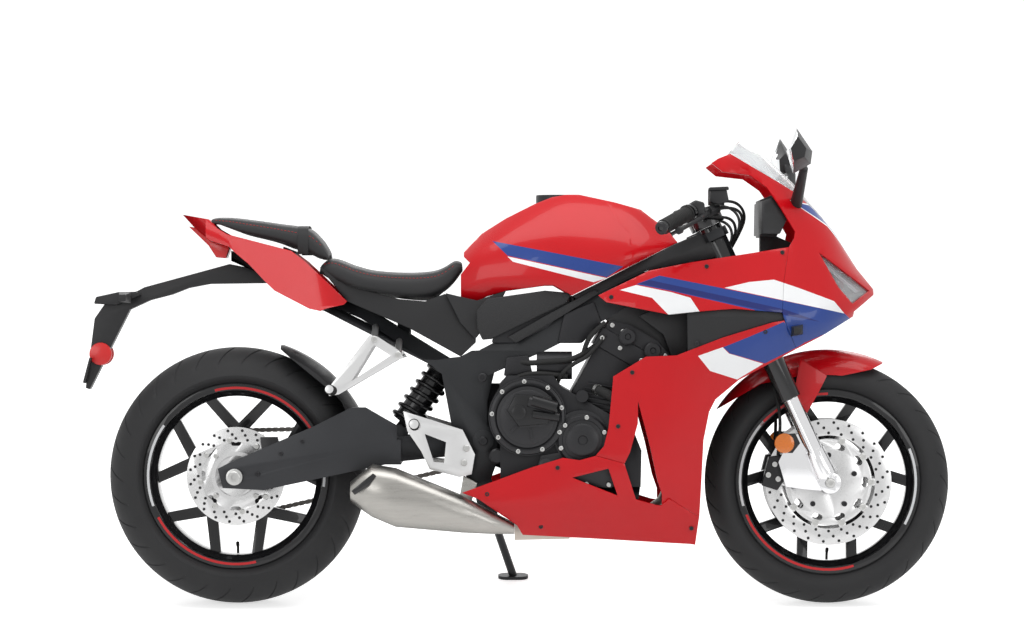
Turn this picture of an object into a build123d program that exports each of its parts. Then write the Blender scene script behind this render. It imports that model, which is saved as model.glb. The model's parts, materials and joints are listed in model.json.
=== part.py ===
from build123d import *
import os
from math import acos, atan2, cos, degrees, radians, sin, sqrt, tan

# Sport bike of the 650 class, upright while it is modelled.
# +X points forward, +Y to the rider's left, +Z up. X = 0 lies midway between
# the axles, Y = 0 is the wheels' middle plane and Z = 0 the floor under the
# upright bike. At the end every piece is leaned onto the side stand.

# Driving dimensions, mm and degrees
WHEELBASE = 1449
FRONT_TYRE_RADIUS = 300
FRONT_TYRE_WIDTH = 120
FRONT_CROWN_RADIUS = 66
REAR_TYRE_RADIUS = 315
REAR_TYRE_WIDTH = 180
REAR_CROWN_RADIUS = 92
RIM_SEAT_RADIUS = 216
RIM_INNER_RADIUS = 195
RIM_LIP = 6
FRONT_RIM_WIDTH = 100
REAR_RIM_WIDTH = 150
LEAN = 10
RAKE = 25
FORK_OFFSET = 38
FORK_SPACING = 210
FORK_OUTER_RADIUS = 27
FORK_INNER_RADIUS = 20.5
FRONT_DISC_RADIUS = 154
FRONT_DISC_PLANE = 68
REAR_DISC_RADIUS = 120
REAR_DISC_PLANE = 84
DISC_THICKNESS = 5
AXLE_RADIUS = 11
BEARING_GAP = 0.4
FIT = 0.3
SKIN = 4
CHAIN_PLANE = 106
CHAIN_WIDTH = 18
CHAIN_HEIGHT = 15
REAR_SPROCKET_RADIUS = 116
FRONT_SPROCKET_RADIUS = 38
PIVOT = (-120, 402)
SPROCKET_AXIS = (-52, 398)
MIRROR_REACH = 375
BAR_REACH = 335

FRONT_X = WHEELBASE / 2
REAR_X = -WHEELBASE / 2
FORK_Y = FORK_SPACING / 2
LIFT = REAR_CROWN_RADIUS * (1 - cos(radians(LEAN)))
STEER_DIRECTION = Vector(-sin(radians(RAKE)), 0, cos(radians(RAKE)))
STEER_FOOT = Vector(FRONT_X - FORK_OFFSET / cos(radians(RAKE)), 0, FRONT_TYRE_RADIUS)
AXLE_FOOT = Vector(FRONT_X, 0, FRONT_TYRE_RADIUS)

pieces = {}


def at_x(x):
    """Sketch plane across the bike: its axes are Y and Z."""
    return Plane(origin=(x, 0, 0), x_dir=(0, 1, 0), z_dir=(1, 0, 0))


def slab(outline, y_from, y_to):
    """Flat piece of an (x, z) outline between two y values."""
    with BuildPart() as flat:
        with BuildSketch(Plane.XZ.offset(-y_from)):
            with BuildLine():
                Polyline(*outline, close=True)
            make_face()
        extrude(amount=y_from - y_to)
    return flat.part


def prism(outline, z_from, z_to):
    """Upright piece of an (x, y) outline between two heights."""
    with BuildPart() as upright:
        with BuildSketch(Plane.XY.offset(z_from)):
            with BuildLine():
                Polyline(*outline, close=True)
            make_face()
        extrude(amount=z_to - z_from)
    return upright.part


def disc(centre, radius, y_from, y_to, bore=0):
    """Round piece about a cross axis at an (x, z) centre."""
    with BuildPart() as round_piece:
        with BuildSketch(Plane.XZ.offset(-y_from)):
            with Locations(centre):
                Circle(radius)
                if bore:
                    Circle(bore, mode=Mode.SUBTRACT)
        extrude(amount=y_from - y_to)
    return round_piece.part


def rod(start, end, radius, end_radius=None):
    """Round bar between two points, tapered where two radii are given."""
    run = Vector(*end) - Vector(*start)
    foot = Plane(origin=start, z_dir=run)
    with BuildPart() as bar:
        with BuildSketch(foot):
            Circle(radius)
        if end_radius:
            with BuildSketch(foot.offset(run.length)):
                Circle(end_radius)
            loft()
        else:
            extrude(amount=run.length)
    return bar.part


def tube_path(points, radius, bend):
    """Round tube along straight runs joined by arcs."""
    with BuildPart() as pipe:
        with BuildLine() as path:
            FilletPolyline(*points, radius=bend)
        with BuildSketch(Plane(origin=points[0], z_dir=path.line @ 0.01 - path.line @ 0)):
            Circle(radius)
        sweep(path=path.line)
    return pipe.part


def lofted(sections, ruled=False):
    """Loft across the bike through (x, [(y, z), ...]) polygons."""
    with BuildPart() as body:
        for x, points in sections:
            with BuildSketch(at_x(x)):
                with BuildLine():
                    Polyline(*points, close=True)
                make_face()
        loft(ruled=ruled)
    return body.part


def both_sides(piece):
    """A piece and its mirror image on the other side."""
    with BuildPart() as pair:
        add(piece)
        mirror(about=Plane.XZ)
    return pair.part


def fused(*parts):
    """Several shapes joined to one piece."""
    with BuildPart() as whole:
        for part in parts:
            add(part)
    return whole.part


def cut(piece, *tools):
    """A piece less its cut-outs."""
    with BuildPart() as rest:
        add(piece)
        for tool in tools:
            add(tool, mode=Mode.SUBTRACT)
    return rest.part


def common(piece, limit):
    """What two shapes share."""
    with BuildPart() as shared:
        add(piece)
        add(limit, mode=Mode.INTERSECT)
    return shared.part


def keep(name, piece):
    """Label a finished piece and hold it for the parking step."""
    piece.label = name
    pieces[name] = piece


def steer_point(height, forward=0.0, y=0.0):
    """Point beside the steering axis at a height, moved square to the axis."""
    along = (height - STEER_FOOT.Z) / STEER_DIRECTION.Z
    square = Vector(cos(radians(RAKE)), 0, sin(radians(RAKE)))
    point = STEER_FOOT + STEER_DIRECTION * along + square * forward
    return Vector(point.X, y, point.Z)


def fork_point(height, y=0.0):
    """Point on a fork tube's axis at a height."""
    along = (height - AXLE_FOOT.Z) / STEER_DIRECTION.Z
    point = AXLE_FOOT + STEER_DIRECTION * along
    return Vector(point.X, y, point.Z)


def polar(centre, radius, angle):
    """(x, z) point at a radius and angle from an (x, z) centre."""
    return (centre[0] + radius * cos(radians(angle)), centre[1] + radius * sin(radians(angle)))


# Wheels
def tyre(centre_x, radius, width, crown_radius, rim_width):
    """Hollow tyre with a round crown, open at its beads."""
    half = width / 2
    edge = half - 4
    edge_z = radius - crown_radius + sqrt(crown_radius ** 2 - edge ** 2)
    bead = rim_width / 2 - RIM_LIP - 0.4
    wall = 9
    inner_edge = edge - wall
    inner_z = edge_z - 5
    with BuildPart() as body:
        with BuildSketch(Plane.YZ):
            with BuildLine():
                ThreePointArc((-edge, edge_z), (0, radius), (edge, edge_z))
                ThreePointArc(
                    (edge, edge_z), (half, (edge_z + RIM_SEAT_RADIUS) / 2 + 4), (bead, RIM_SEAT_RADIUS + 11)
                )
                Line((bead, RIM_SEAT_RADIUS + 11), (bead, RIM_SEAT_RADIUS))
                Line((bead, RIM_SEAT_RADIUS), (bead - 9, RIM_SEAT_RADIUS))
                Line((bead - 9, RIM_SEAT_RADIUS), (inner_edge, inner_z - 8))
                ThreePointArc((inner_edge, inner_z - 8), (0, radius - wall), (-inner_edge, inner_z - 8))
                Line((-inner_edge, inner_z - 8), (-bead + 9, RIM_SEAT_RADIUS))
                Line((-bead + 9, RIM_SEAT_RADIUS), (-bead, RIM_SEAT_RADIUS))
                Line((-bead, RIM_SEAT_RADIUS), (-bead, RIM_SEAT_RADIUS + 11))
                ThreePointArc(
                    (-bead, RIM_SEAT_RADIUS + 11), (-half, (edge_z + RIM_SEAT_RADIUS) / 2 + 4), (-edge, edge_z)
                )
            make_face()
        revolve(axis=Axis.Y)
    return body.part.moved(Location((centre_x, 0, radius)))


def rim(centre_x, radius, width, hub_half, hub_radius, first_spoke, spread, split):
    """Cast wheel: barrel, hub and five forked spokes."""
    half = width / 2
    seat = RIM_SEAT_RADIUS - 0.3
    spokes = 5
    with BuildPart() as wheel:
        with BuildSketch(Plane.YZ):
            with BuildLine():
                Polyline(
                    (-half, RIM_SEAT_RADIUS + 9), (-half + RIM_LIP, RIM_SEAT_RADIUS + 9), (-half + RIM_LIP, seat),
                    (-half + 26, seat - 2), (-half + 34, RIM_INNER_RADIUS + 5), (half - 34, RIM_INNER_RADIUS + 5),
                    (half - 26, seat - 2), (half - RIM_LIP, seat), (half - RIM_LIP, RIM_SEAT_RADIUS + 9),
                    (half, RIM_SEAT_RADIUS + 9), (half, RIM_SEAT_RADIUS - 6), (half - 24, RIM_SEAT_RADIUS - 8),
                    (half - 32, RIM_INNER_RADIUS), (-half + 32, RIM_INNER_RADIUS),
                    (-half + 24, RIM_SEAT_RADIUS - 8), (-half, RIM_SEAT_RADIUS - 6), close=True,
                )
            make_face()
        revolve(axis=Axis.Y)
        with BuildSketch(Plane.XZ.offset(-hub_half)):
            Circle(hub_radius)
        extrude(amount=2 * hub_half)
        for spoke in range(spokes):
            middle = first_spoke + spoke * 360 / spokes
            with BuildSketch(Plane.XZ.offset(-14)):
                with BuildLine():
                    Polyline(
                        polar((0, 0), hub_radius - 6, middle - 28), polar((0, 0), split - 16, middle - 8),
                        polar((0, 0), RIM_INNER_RADIUS + 2, middle - spread - 4),
                        polar((0, 0), RIM_INNER_RADIUS + 2, middle - spread + 4),
                        polar((0, 0), split + 8, middle), polar((0, 0), RIM_INNER_RADIUS + 2, middle + spread - 4),
                        polar((0, 0), RIM_INNER_RADIUS + 2, middle + spread + 4),
                        polar((0, 0), split - 16, middle + 8), polar((0, 0), hub_radius - 6, middle + 28), close=True,
                    )
                make_face()
            extrude(amount=28)
        with BuildSketch(Plane.XZ.offset(-hub_half)):
            Circle(AXLE_RADIUS + BEARING_GAP)
        extrude(amount=2 * hub_half, mode=Mode.SUBTRACT)
    return wheel.part.moved(Location((centre_x, 0, radius)))


def brake_disc(radius, band, carrier_radius, bolt_radius, bobbins, plane):
    """Floating disc: slotted band, carrier and the bobbins between them."""
    with BuildPart() as rotor:
        with BuildSketch(Plane.XZ.offset(-plane)):
            Circle(radius)
            Circle(radius - band, mode=Mode.SUBTRACT)
        extrude(amount=DISC_THICKNESS / 2, both=True)
        with BuildSketch(Plane.XZ.offset(-plane)):
            Circle(carrier_radius)
            Circle(bolt_radius - 12, mode=Mode.SUBTRACT)
            with PolarLocations((carrier_radius + bolt_radius) / 2 + 3, bobbins):
                SlotOverall(26, 15, rotation=90, mode=Mode.SUBTRACT)
            with PolarLocations(carrier_radius + 3, bobbins):
                Circle(9)
        extrude(amount=DISC_THICKNESS / 2 - 0.5, both=True)
    return rotor.part


keep("front_tyre", tyre(FRONT_X, FRONT_TYRE_RADIUS, FRONT_TYRE_WIDTH, FRONT_CROWN_RADIUS, FRONT_RIM_WIDTH))
keep("rear_tyre", tyre(REAR_X, REAR_TYRE_RADIUS, REAR_TYRE_WIDTH, REAR_CROWN_RADIUS, REAR_RIM_WIDTH))
keep("front_rim", rim(FRONT_X, FRONT_TYRE_RADIUS, FRONT_RIM_WIDTH, 60, 40, 18, 18, 115))
keep("rear_rim", rim(REAR_X, REAR_TYRE_RADIUS, REAR_RIM_WIDTH, 78, 50, 17, 21, 120))

front_rotor = brake_disc(FRONT_DISC_RADIUS, 40, 106, 66, 10, FRONT_DISC_PLANE)
front_seat = disc((0, 0), 60, 60, FRONT_DISC_PLANE + 2, AXLE_RADIUS + BEARING_GAP)
front_boss = both_sides(fused(front_rotor, front_seat))
keep("front_discs", front_boss.moved(Location((FRONT_X, 0, FRONT_TYRE_RADIUS))))
rear_rotor = brake_disc(REAR_DISC_RADIUS, 36, 88, 69, 8, -REAR_DISC_PLANE)
rear_seat = disc((0, 0), 60, -78, -REAR_DISC_PLANE - 2, AXLE_RADIUS + BEARING_GAP)
keep("rear_disc", fused(rear_rotor, rear_seat).moved(Location((REAR_X, 0, REAR_TYRE_RADIUS))))

with BuildPart() as sprocket:
    with BuildSketch(Plane.XZ.offset(-CHAIN_PLANE + 3.5)):
        Circle(REAR_SPROCKET_RADIUS - 8)
        Circle(AXLE_RADIUS + BEARING_GAP, mode=Mode.SUBTRACT)
        with PolarLocations(76, 5):
            SlotOverall(38, 20, rotation=90, mode=Mode.SUBTRACT)
    extrude(amount=-7)
    with BuildSketch(Plane.XZ.offset(-78)):
        Circle(50)
        Circle(AXLE_RADIUS + BEARING_GAP, mode=Mode.SUBTRACT)
    extrude(amount=-(CHAIN_PLANE - 78))
keep("rear_sprocket", sprocket.part.moved(Location((REAR_X, 0, REAR_TYRE_RADIUS))))

keep("front_axle", fused(
    disc((FRONT_X, FRONT_TYRE_RADIUS), AXLE_RADIUS, -FORK_Y - 26, FORK_Y + 26),
    disc((FRONT_X, FRONT_TYRE_RADIUS), 17, 72, FORK_Y - 20),
    disc((FRONT_X, FRONT_TYRE_RADIUS), 17, -FORK_Y + 20, -72),
))
keep("rear_axle", fused(
    disc((REAR_X, REAR_TYRE_RADIUS), AXLE_RADIUS, -150, 158),
    disc((REAR_X, REAR_TYRE_RADIUS), 17, CHAIN_PLANE + 4.5, 119.7),
    disc((REAR_X, REAR_TYRE_RADIUS), 17, -111.7, -REAR_DISC_PLANE - 3),
    disc((REAR_X, REAR_TYRE_RADIUS), 20, -150, -140.3),
    disc((REAR_X, REAR_TYRE_RADIUS), 20, 146.3, 158),
))

# Front fork and steering
fork_tubes = []
fork_legs = []
for side in (-FORK_Y, FORK_Y):
    fork_tubes.append(rod(fork_point(505, side), fork_point(925, side), FORK_OUTER_RADIUS))
    foot = disc((FRONT_X, FRONT_TYRE_RADIUS), 26, side - 20, side + 20, AXLE_RADIUS)
    arm_side = 1 if side > 0 else -1
    lug = slab(
        [(FRONT_X - 20, 280), (FRONT_X - 4, 330), (650, 420), (628, 408), (600, 350), (618, 290), (660, 284)],
        side - 2 * arm_side, side - 18 * arm_side,
    )
    leg = rod(fork_point(310, side), fork_point(504.6, side), FORK_INNER_RADIUS)
    shoe = rod(fork_point(318, side), fork_point(380, side), 27, 24)
    bore = disc((FRONT_X, FRONT_TYRE_RADIUS), AXLE_RADIUS, side - 40, side + 40)
    spacer_room = disc((FRONT_X, FRONT_TYRE_RADIUS), 17.4, side - 20 * arm_side, side - 50 * arm_side)
    fork_legs.append(cut(fused(leg, foot, shoe, lug), bore, spacer_room))
keep("fork_tubes", fused(*fork_tubes))
keep("fork_legs", fused(*fork_legs))


def clamp(height, thickness, reach):
    """Fork clamp: a plate square to the steering axis around both tubes."""
    plane = Plane(origin=steer_point(height), x_dir=(0, 1, 0), z_dir=STEER_DIRECTION)
    with BuildPart() as plate:
        with BuildSketch(plane):
            with BuildLine():
                Polyline(
                    (-reach, -FORK_OFFSET - 22), (-reach + 30, -FORK_OFFSET - 34), (0, -FORK_OFFSET - 14),
                    (reach - 30, -FORK_OFFSET - 34), (reach, -FORK_OFFSET - 22), (reach, -FORK_OFFSET + 20),
                    (60, 20), (30, 32), (-30, 32), (-60, 20), (-reach, -FORK_OFFSET + 20), close=True,
                )
            make_face()
            with Locations((-FORK_Y, -FORK_OFFSET), (FORK_Y, -FORK_OFFSET)):
                Circle(FORK_OUTER_RADIUS + 0.2, mode=Mode.SUBTRACT)
        extrude(amount=thickness)
    return plate.part


STEM_RADIUS = 15
LOWER_CLAMP = 728
UPPER_CLAMP = 878
stem = rod(steer_point(LOWER_CLAMP), steer_point(UPPER_CLAMP + 28), STEM_RADIUS)
LIFT_BORE_RADIUS = 8
LIFT_BORE_DEPTH = 45
lift_bore = rod(steer_point(LOWER_CLAMP - 5), steer_point(LOWER_CLAMP + LIFT_BORE_DEPTH), LIFT_BORE_RADIUS)
keep("triple_clamps", cut(fused(
    clamp(LOWER_CLAMP, 32, FORK_Y + 36), clamp(UPPER_CLAMP, 22, FORK_Y + 36), stem,
    rod(steer_point(UPPER_CLAMP + 18), steer_point(UPPER_CLAMP + 30), 22),
), lift_bore))

handlebar_parts = []
for side in (-1, 1):
    top = fork_point(938, side * FORK_Y)
    clip = cut(
        rod(fork_point(925.4, side * FORK_Y), fork_point(948, side * FORK_Y), 38),
    )
    inner = (379, side * 215, 957)
    outer = (305, side * BAR_REACH, 915)
    root = (418, side * 118, 958)
    handlebar_parts += [
        clip,
        rod((top.X, top.Y, top.Z), root, 14),
        rod(root, inner, 11.5),
        rod(inner, outer, 11.5),
        rod((372, side * 226, 953), (311, side * 325, 918.5), 17),
        rod((311, side * 325, 918.5), outer, 16),
        rod((392, side * 194, 960), (374, side * 224, 954), 21),
    ]
keep("handlebars", fused(*handlebar_parts))

lever_parts = []
for side in (-1, 1):
    lever_parts.append(fused(
        rod((402, side * 178, 962), (424, side * 186, 955), 12),
        rod((424, side * 186, 955), (402, side * 250, 940), 6),
        rod((402, side * 250, 940), (352, side * 318, 912), 5),
        rod((352, side * 318, 912), (346, side * 326, 909), 9),
    ))
master = fused(
    rod((424, -172, 958), (446, -138, 966), 13),
    rod((446, -140, 975), (446, -140, 1012), 20),
    rod((446, -140, 962), (446, -140, 975), 8),
)
keep("controls", cut(fused(*lever_parts, master), pieces["handlebars"]))

CALIPER_SIDE = [(-164.5, -8), (-146.5, 62), (-112.5, 68), (-100.5, 50), (-112.5, 0), (-126.5, -20)]
caliper_outline = [(FRONT_X + along, FRONT_TYRE_RADIUS + up) for along, up in CALIPER_SIDE]
caliper_parts = []
for side in (-1, 1):
    body = cut(
        slab(caliper_outline, side * 50, side * 86.7),
        disc((FRONT_X, FRONT_TYRE_RADIUS), FRONT_DISC_RADIUS + 4, side * (FRONT_DISC_PLANE - 5),
             side * (FRONT_DISC_PLANE + 5)),
    )
    caliper_parts.append(body)
keep("front_calipers", fused(*caliper_parts))

fender_half = 73
with BuildPart() as fender_shell:
    with BuildSketch(Plane.YZ):
        with BuildLine():
            ThreePointArc((-fender_half, 262), (0, 324), (fender_half, 262))
            Line((fender_half, 262), (fender_half - 3, 262))
            ThreePointArc((fender_half - 3, 262), (0, 320), (-fender_half + 3, 262))
            Line((-fender_half + 3, 262), (-fender_half, 262))
        make_face()
    revolve(axis=Axis.Y)
FENDER_SIDE = [
    (860, 589), (830, 575), (738, 556), (700, 520), (655, 560), (560, 540), (523, 519), (453, 476),
    (440, 500), (480, 560), (600, 660), (760, 660), (880, 620),
]
fender = common(
    fender_shell.part.moved(Location((FRONT_X, 0, FRONT_TYRE_RADIUS))), slab(FENDER_SIDE, -100, 100),
)
fender_stays = both_sides(fused(
    slab([(655, 600), (720, 560), (700, 520), (672, 470), (652, 470), (640, 520)], fender_half - 6, FORK_Y - 27.4),
    slab([(655, 520), (650, 478), (622, 478), (616, 505), (630, 520)], fender_half - 6, FORK_Y - 27.4),
    slab([(650, 486), (649, 470), (624, 470), (622, 484)], fender_half - 6, FORK_Y - FORK_INNER_RADIUS - 0.3),
))
keep("front_fender", fused(fender, fender_stays))

# Frame, subframe and swingarm
HEAD_BOTTOM = LOWER_CLAMP + 36
HEAD_TOP = UPPER_CLAMP - 5
head = rod(steer_point(HEAD_BOTTOM), steer_point(HEAD_TOP), 30)
spar = lofted([
    (440, [(-34, 790), (-4, 790), (-4, 858), (-34, 858)]),
    (330, [(-104, 765), (-72, 768), (-66, 830), (-96, 834)]),
    (182, [(-130, 700), (-98, 705), (-94, 775), (-122, 780)]),
    (32, [(-130, 622), (-98, 626), (-96, 700), (-124, 706)]),
    (-130, [(-112, 552), (-84, 552), (-84, 622), (-110, 622)]),
], ruled=True)
PIVOT_PLATE = [
    (-235, 599), (-264, 600), (-221, 565), (-190, 400), (-163, 317), (-156, 297), (-143, 291), (-101, 310),
    (-88, 346), (-86, 402), (-110, 441), (-110, 500), (-91, 576), (-100, 622), (-150, 620), (-179, 605),
]
pivot_plates = fused(slab(PIVOT_PLATE, -112, -92), slab(PIVOT_PLATE, 72, 92))
cross_top = slab([(-200, 596), (-150, 596), (-150, 556), (-200, 556)], -100, 90)
tank_posts = both_sides(rod((96, -110, 730), (96, -110, 755.6), 9))
cross_low = slab([(-176, 345), (-150, 300), (-118, 304), (-140, 350)], -100, 90)
stem_way = rod(steer_point(HEAD_BOTTOM - 20), steer_point(HEAD_TOP + 20), STEM_RADIUS + 1)
stem_room_low = rod(steer_point(HEAD_BOTTOM - 80), steer_point(HEAD_BOTTOM), 80)
stem_room_top = rod(steer_point(HEAD_TOP), steer_point(HEAD_TOP + 80), 80)
keep("frame", cut(
    fused(both_sides(spar), pivot_plates, head, cross_top, cross_low, tank_posts, disc(PIVOT, 26, -120, -111),
          disc(PIVOT, 24, 91, 104), disc(PIVOT, 10, -112, 92)),
    stem_way, stem_room_low, stem_room_top,
))

rail = lofted([
    (-200, [(-75, 560), (-52, 560), (-52, 600), (-75, 600)]),
    (-420, [(-80, 700), (-58, 700), (-58, 735), (-80, 735)]),
    (-738, [(-58, 841), (-38, 841), (-38, 866), (-58, 866)]),
], ruled=True)
rail_low = rod((-205, -64, 575), (-600, -60, 775), 10)
keep("subframe", cut(fused(
    both_sides(rail), both_sides(rail_low),
    slab([(-420, 702), (-450, 712), (-450, 760), (-420, 755)], -70, 70),
    slab([(-505, 742), (-480, 738), (-480, 764), (-505, 770)], -118.6, 118.6),
    slab([(-330, 655), (-300, 640), (-300, 740.5), (-330, 741)], -70, 70),
    slab([(-610, 790), (-580, 780), (-580, 864.5), (-610, 876)], -64, 64),
    slab([(-700, 826), (-738, 842), (-738, 866), (-700, 850)], -50, 50),
), pieces["frame"]))

ARM_REAR = [
    (-765, 335), (-753, 288), (-654, 283), (-519, 309), (-387, 340), (-330, 350), (-330, 440),
    (-406, 484), (-440, 484), (-534, 437), (-671, 376), (-740, 348),
]
arm_right = slab(ARM_REAR, -140, -112)
arm_left = slab([
    (-765, 340), (-765, 290), (-654, 290), (-519, 312), (-387, 340), (-330, 345), (-330, 410),
    (-420, 410), (-534, 395), (-671, 365),
], 120, 146)
ARM_FRONT = [(-380, 345), (-380, 405), (-120, 432), (-92, 402), (-120, 372)]
arm_front = fused(slab(ARM_FRONT, -91.7, -62), slab(ARM_FRONT, 44, 71.7))
arm_beam = slab([(-385, 345), (-385, 405), (-320, 405), (-320, 345)], -140, 146)
shock_foot = slab([(-355, 400), (-350, 432), (-325, 440), (-305, 425), (-310, 385)], -16, 16)
swing = fused(arm_right, arm_left, arm_front, arm_beam, shock_foot)
LIFT_POINT = (-668, 322)
LIFT_HOLE_RADIUS = 3.4
LIFT_HOLE_DEPTH = 20
swing_bores = [
    disc(LIFT_POINT, LIFT_HOLE_RADIUS, -140 - 5, -140 + LIFT_HOLE_DEPTH),
    disc(LIFT_POINT, LIFT_HOLE_RADIUS, 146 - LIFT_HOLE_DEPTH, 146 + 5),
    disc((REAR_X, REAR_TYRE_RADIUS), AXLE_RADIUS, -180, 180),
    disc(PIVOT, 10, -100, 100),
]
keep("swingarm", cut(swing, *swing_bores))
shock = fused(rod((-331, 0, 424), (-205, 0, 592), 12), rod((-318, 0, 443), (-222, 0, 571), 30))
keep("shock_absorber", cut(shock, pieces["swingarm"], pieces["frame"]))


# Drive chain: a closed loop round both sprockets
def belt_outline(offset):
    """Outline of a loop round the two sprockets at a distance outside them."""
    with BuildSketch(Plane.XZ) as loop:
        with BuildLine():
            big = REAR_SPROCKET_RADIUS + offset
            small = FRONT_SPROCKET_RADIUS + offset
            run_x = SPROCKET_AXIS[0] - REAR_X
            run_z = SPROCKET_AXIS[1] - REAR_TYRE_RADIUS
            length = sqrt(run_x ** 2 + run_z ** 2)
            slope = degrees(atan2(run_z, run_x))
            fan = degrees(acos((big - small) / length))
            rear = (REAR_X, REAR_TYRE_RADIUS)
            a = polar(rear, big, slope + fan)
            b = polar(rear, big, slope + 180)
            c = polar(rear, big, slope - fan)
            d = polar(SPROCKET_AXIS, small, slope - fan)
            e = polar(SPROCKET_AXIS, small, slope)
            f = polar(SPROCKET_AXIS, small, slope + fan)
            ThreePointArc(a, b, c)
            Line(c, d)
            ThreePointArc(d, e, f)
            Line(f, a)
        make_face()
    return loop.sketch


with BuildPart() as chain:
    with BuildSketch(Plane.XZ.offset(-CHAIN_PLANE - CHAIN_WIDTH / 2)):
        add(belt_outline(CHAIN_HEIGHT / 2))
        add(belt_outline(-CHAIN_HEIGHT / 2), mode=Mode.SUBTRACT)
    extrude(amount=CHAIN_WIDTH)
keep("drive_chain", chain.part)


# Engine
ENGINE_HALF = 165
SUMP_HALF = 132
crankcase = fused(
    slab([
        (-78, 300), (-76, 292), (262, 292), (264, 380), (240, 440), (215, 452), (70, 535), (50, 562), (-60, 562),
        (-80, 540),
    ], -ENGINE_HALF, 88),
    slab([(12, 292), (262, 292), (264, 380), (240, 440), (215, 452), (70, 535), (12, 520)], 87, ENGINE_HALF),
    slab([(-76, 293), (-60, 232), (40, 206), (200, 215), (258, 262), (262, 293)], -SUMP_HALF, 88),
    slab([(12, 293), (12, 214), (40, 206), (200, 215), (258, 262), (262, 293)], 87, SUMP_HALF),
    slab([(-138, 500), (-138, 362), (-112, 346), (-70, 330), (-70, 540), (-120, 540)], -60, 42),
)
output_sprocket = fused(
    disc(SPROCKET_AXIS, FRONT_SPROCKET_RADIUS - 8, CHAIN_PLANE - 4, CHAIN_PLANE + 4),
    disc(SPROCKET_AXIS, 18, 80, CHAIN_PLANE - 3),
)
keep("engine_block", fused(cut(crankcase, disc(PIVOT, 34, -200, 200)), output_sprocket))
HEAD_LEAN = 30
head_axis = Vector(sin(radians(HEAD_LEAN)), 0, cos(radians(HEAD_LEAN)))
head_across = Vector(cos(radians(HEAD_LEAN)), 0, -sin(radians(HEAD_LEAN)))
HEAD_CENTRE = Vector(250, 0, 634)


def head_point(up, along):
    """(x, z) point of the leaning cylinder bank."""
    point = HEAD_CENTRE + head_axis * up + head_across * along
    return (point.X, point.Z)


barrels = cut(
    slab([head_point(-205, -78), head_point(-46.3, -82), head_point(-46.3, 82), head_point(-205, 78)], -150, 150),
    pieces["engine_block"],
)
head_block = slab([
    head_point(-47, -92), head_point(0, -92), head_point(0, 92), head_point(-30, 96), head_point(-47, 90),
], -158, 158)
cam_cover = slab([
    head_point(-1, -88), head_point(22, -84), head_point(38, -40), head_point(38, 40), head_point(22, 84),
    head_point(-1, 88),
], -154, 154)
keep("cylinder_head", fused(barrels, head_block, cam_cover))
CLUTCH_CENTRE = (-13, 462)
clutch = fused(
    disc(CLUTCH_CENTRE, 94, -182, -ENGINE_HALF - 0.3), disc(CLUTCH_CENTRE, 74, -196, -182),
    slab([(-62, 478), (-40, 520), (44, 512), (60, 470), (30, 440), (-30, 436)], -208, -195),
    rod((-10, -212, 500), (52, -212, 482), 15),
)
CRANK_CENTRE = (118, 412)
crank_cover = fused(
    disc(CRANK_CENTRE, 66, -180, -ENGINE_HALF - 0.3), disc(CRANK_CENTRE, 56, -190, -180),
    slab([(8, 322), (60, 300), (190, 290), (226, 330), (204, 400), (90, 380), (20, 368)],
         -182, -ENGINE_HALF - 0.3),
    disc((32, 345), 18, -190, -ENGINE_HALF - 0.3),
)
right_covers = fused(clutch, cut(crank_cover, disc(CLUTCH_CENTRE, 93, -210, -160)))
left_covers = fused(
    disc((130, 404), 84, ENGINE_HALF + 0.3, 182), disc((130, 404), 64, 182, 190),
    slab([(22, 470), (22, 310), (60, 300), (90, 330), (60, 480)], ENGINE_HALF + 0.3, 178),
)
sprocket_cover = slab([
    (-92, 452), (-104, 402), (-92, 344), (-40, 330), (11.7, 344), (11.7, 452), (-40, 466),
], 122, 134)
keep("engine_covers", fused(right_covers, left_covers, sprocket_cover))
radiator_hanger = slab([(396, 670), (414, 670), (396, 790), (376, 790)], -68, -52)
keep("radiator", cut(fused(
    slab([(380, 470), (412, 462), (436, 680), (404, 683)], -165, 165), both_sides(radiator_hanger),
), pieces["frame"]))
headers = []
for y in (-117, -39, 39, 117):
    headers.append(tube_path([
        (318, y, 566), (352, y, 547), (358, y * 0.9, 400), (334, y * 0.7, 250), (240, y * 0.55, 184),
        (60, y * 0.5 - 10, 180),
    ], 17, [14, 40, 60, 60]))
collector = lofted([
    (90, [(-90, 162), (70, 162), (70, 200), (-90, 200)]),
    (-43.7, [(-112, 160), (-60, 160), (-60, 202), (-112, 202)]),
], ruled=True)
keep("exhaust_pipes", cut(fused(*headers, collector), pieces["cylinder_head"]))


def ring_section(y_low, y_high, z_low, z_high, corner):
    """Eight-cornered outline of a rounded box section."""
    return [
        (y_low + corner, z_low), (y_high - corner, z_low), (y_high, z_low + corner), (y_high, z_high - corner),
        (y_high - corner, z_high), (y_low + corner, z_high), (y_low, z_high - corner), (y_low, z_low + corner),
    ]


# Silencer sections: x, right face, left face, bottom, top, corner
SILENCER = [
    (-440, -232, -165, 258, 306, 18), (-387, -248, -148, 222, 348, 26), (-330, -250, -146, 198, 338, 28),
    (-171, -240, -120, 184, 272, 24), (-100, -220, -110, 180, 232, 16), (-44, -190, -60, 179, 200, 6),
]
silencer_can = lofted([(x, ring_section(a, b, c, d, r)) for x, a, b, c, d, r in SILENCER], ruled=True)
silencer_hanger = slab([(-178, 262), (-150, 250), (-134, 300), (-168, 318)], -134, -112 - FIT)
keep("silencer", fused(silencer_can, silencer_hanger))


# Fuel tank and seats
def form(side_outline, plan_outline):
    """Shape with a given outline from the side and from above."""
    zs = [z for _, z in side_outline]
    ys = [y for _, y in plan_outline]
    return common(slab(side_outline, min(ys) - 1, max(ys) + 1), prism(plan_outline, min(zs) - 1, max(zs) + 1))


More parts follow.
